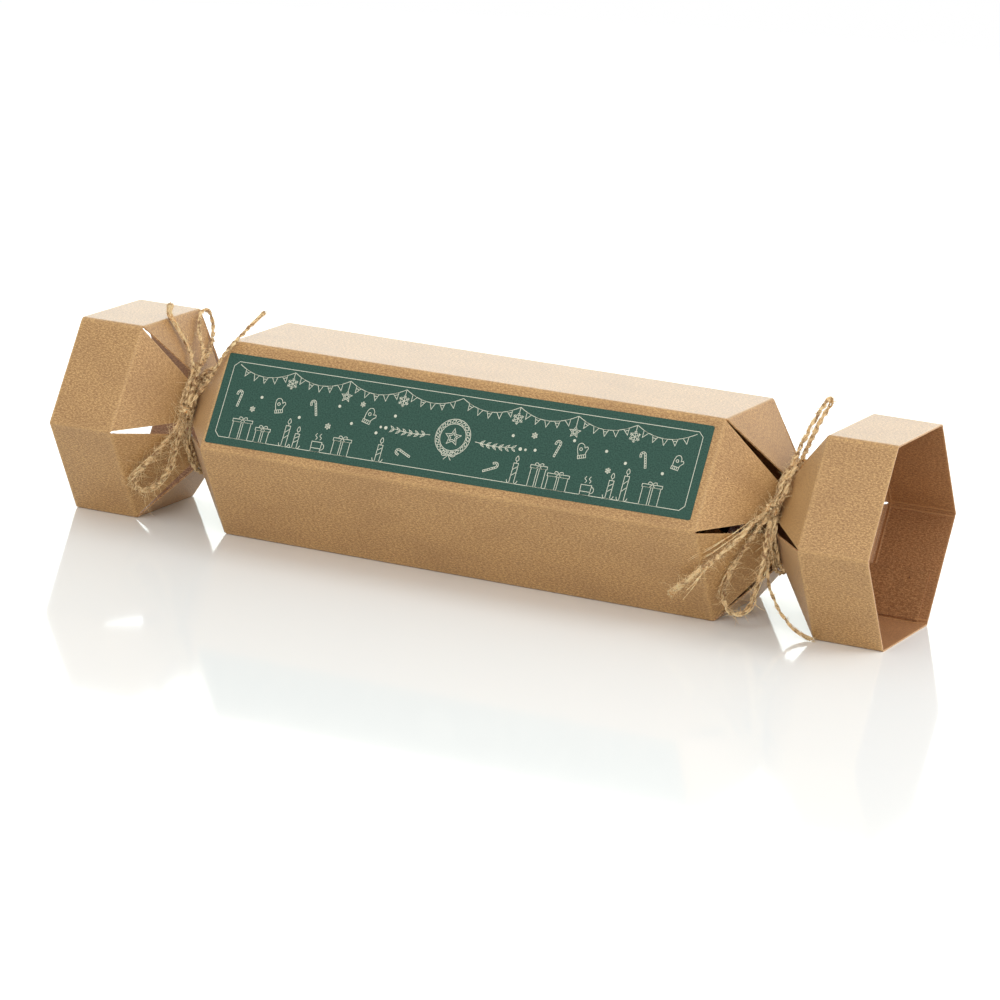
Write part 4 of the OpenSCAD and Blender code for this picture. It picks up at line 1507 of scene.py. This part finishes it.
# %% [markdown]
# ## Table and light
# The cracker stands on a pale glossy table that runs out into white. A curved paper sweep would do
# that in a studio; here the table's far part simply fades to white where the camera sees it, from
# any side. The world shows white to the camera and to reflections, while the light that it sheds on
# things falls off toward the zenith and toward the left, so the boards keep their colour and their
# faces stay apart. A wide softbox behind gives the top panels their pale shine at a low angle, one
# at the right reaches the petals, and a small lamp in front lifts the label's panel.

# %% The table
TABLE_HALF = 6.0
FADE_FROM, FADE_TO = 0.8, 1.8


def make_table():
    """A glossy pale table that fades to white, for the camera only, away from the cracker."""
    material, n, shader = new_material("pale_table", Roughness=0.08, Specular_IOR_Level=0.22)
    place = n.add("ShaderNodeTexCoord").outputs["Object"]
    cloud = n.span(n.noise(place, 1.2, 2.0), 0.3, 0.7)
    n.feed(shader["Base Color"], n.blend(cloud, rgb(247, 249, 247), rgb(250, 252, 250)))
    distance = n.add("ShaderNodeVectorMath", {0: place}, operation="LENGTH").outputs["Value"]
    fade = n.maths("MULTIPLY", n.span(distance, FADE_FROM, FADE_TO),
                   n.add("ShaderNodeLightPath").outputs["Is Camera Ray"])
    white = n.add("ShaderNodeEmission", {"Color": (1, 1, 1, 1), "Strength": 1.0}).outputs[0]
    nodes = material.node_tree.nodes
    glossy = nodes["Principled BSDF"].outputs[0]
    surface = n.add("ShaderNodeMixShader", {0: fade, 1: glossy, 2: white}).outputs[0]
    n.feed(nodes["Material Output"].inputs["Surface"], surface)
    work = bmesh.new()
    bmesh.ops.create_grid(work, x_segments=8, y_segments=8, size=TABLE_HALF)
    mesh = bpy.data.meshes.new("table")
    work.to_mesh(mesh)
    work.free()
    mesh.materials.append(material)
    table = bpy.data.objects.new("table", mesh)
    bpy.context.scene.collection.objects.link(table)
    table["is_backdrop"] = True
    print(f"table: {2 * TABLE_HALF:.0f} m wide, white from {FADE_TO} m on")


make_table()

# %% The world: white to the camera, softer as a light
HORIZON_LIGHT, ZENITH_LIGHT = 1.17, 0.76
LEFT_SHARE, RIGHT_SHARE = 0.74, 1.18


def make_world():
    """White for the camera and reflections; as a light, graded by height and from left to right."""
    world = bpy.data.worlds.new("studio")
    bpy.context.scene.world = world
    world.use_nodes = True
    n = Nodes(world.node_tree)
    path = n.add("ShaderNodeLightPath").outputs
    seen = n.maths("MAXIMUM", n.maths("MAXIMUM", path["Is Camera Ray"], path["Is Glossy Ray"]),
                   path["Is Transmission Ray"])
    back = world.node_tree.nodes["Background"]
    back.inputs["Color"].default_value = (1, 1, 1, 1)
    toward = n.add("ShaderNodeTexCoord").outputs["Generated"]
    way = n.add("ShaderNodeSeparateXYZ", {0: toward}).outputs
    shed = n.maths("MULTIPLY", n.span(way["Z"], 0.0, 1.0, HORIZON_LIGHT, ZENITH_LIGHT),
                   n.span(way["X"], -1.0, 1.0, LEFT_SHARE, RIGHT_SHARE))
    n.feed(back.inputs["Strength"], n.add("ShaderNodeMix", {0: seen, 2: shed, 3: 1.0}).outputs[0])
    print(f"world: light {HORIZON_LIGHT} at the horizon, {ZENITH_LIGHT} overhead")


make_world()

# %% The softboxes
# Place, aim and size in metres, power in watts, colour
LAMPS = {
    "softbox_behind": ((-0.9, 1.7, 0.5), (0, 0, 0.05), (2.2, 0.8), 12.4, (0.88, 1.0, 0.97)),
    "softbox_right": ((1.15, 0.2, 1.0), (0.1, 0, 0.05), (0.8, 0.8), 5.8, (1, 1, 1)),
    "key_front": ((0.15, -0.8, 0.8), (0.04, 0, 0.06), (0.3, 0.3), 1.5, (1, 1, 1)),
}


def add_lamp(name, place, aim, size, power, colour):
    """A rectangular lamp at place, turned towards aim."""
    data = bpy.data.lights.new(name, "AREA")
    data.shape = "RECTANGLE"
    data.size, data.size_y = size
    data.energy = power
    data.color = colour
    lamp = bpy.data.objects.new(name, data)
    lamp.location = place
    lamp.rotation_mode = "QUATERNION"
    lamp.rotation_quaternion = (Vector(aim) - Vector(place)).to_track_quat("-Z", "Y")
    bpy.context.scene.collection.objects.link(lamp)
    print(f"{name}: {power} W")


for name, values in LAMPS.items():
    add_lamp(name, *values)

# %% How far the pieces reach beyond the imported box, and the script's last line
before = [list(cad_low), list(cad_high)]
after = [list(v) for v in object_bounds()]
grown = [max(before[0][k] - after[0][k], after[1][k] - before[1][k]) / MM for k in range(3)]
print("visual box beyond the packed box, mm:", [round(g, 2) for g in grown])
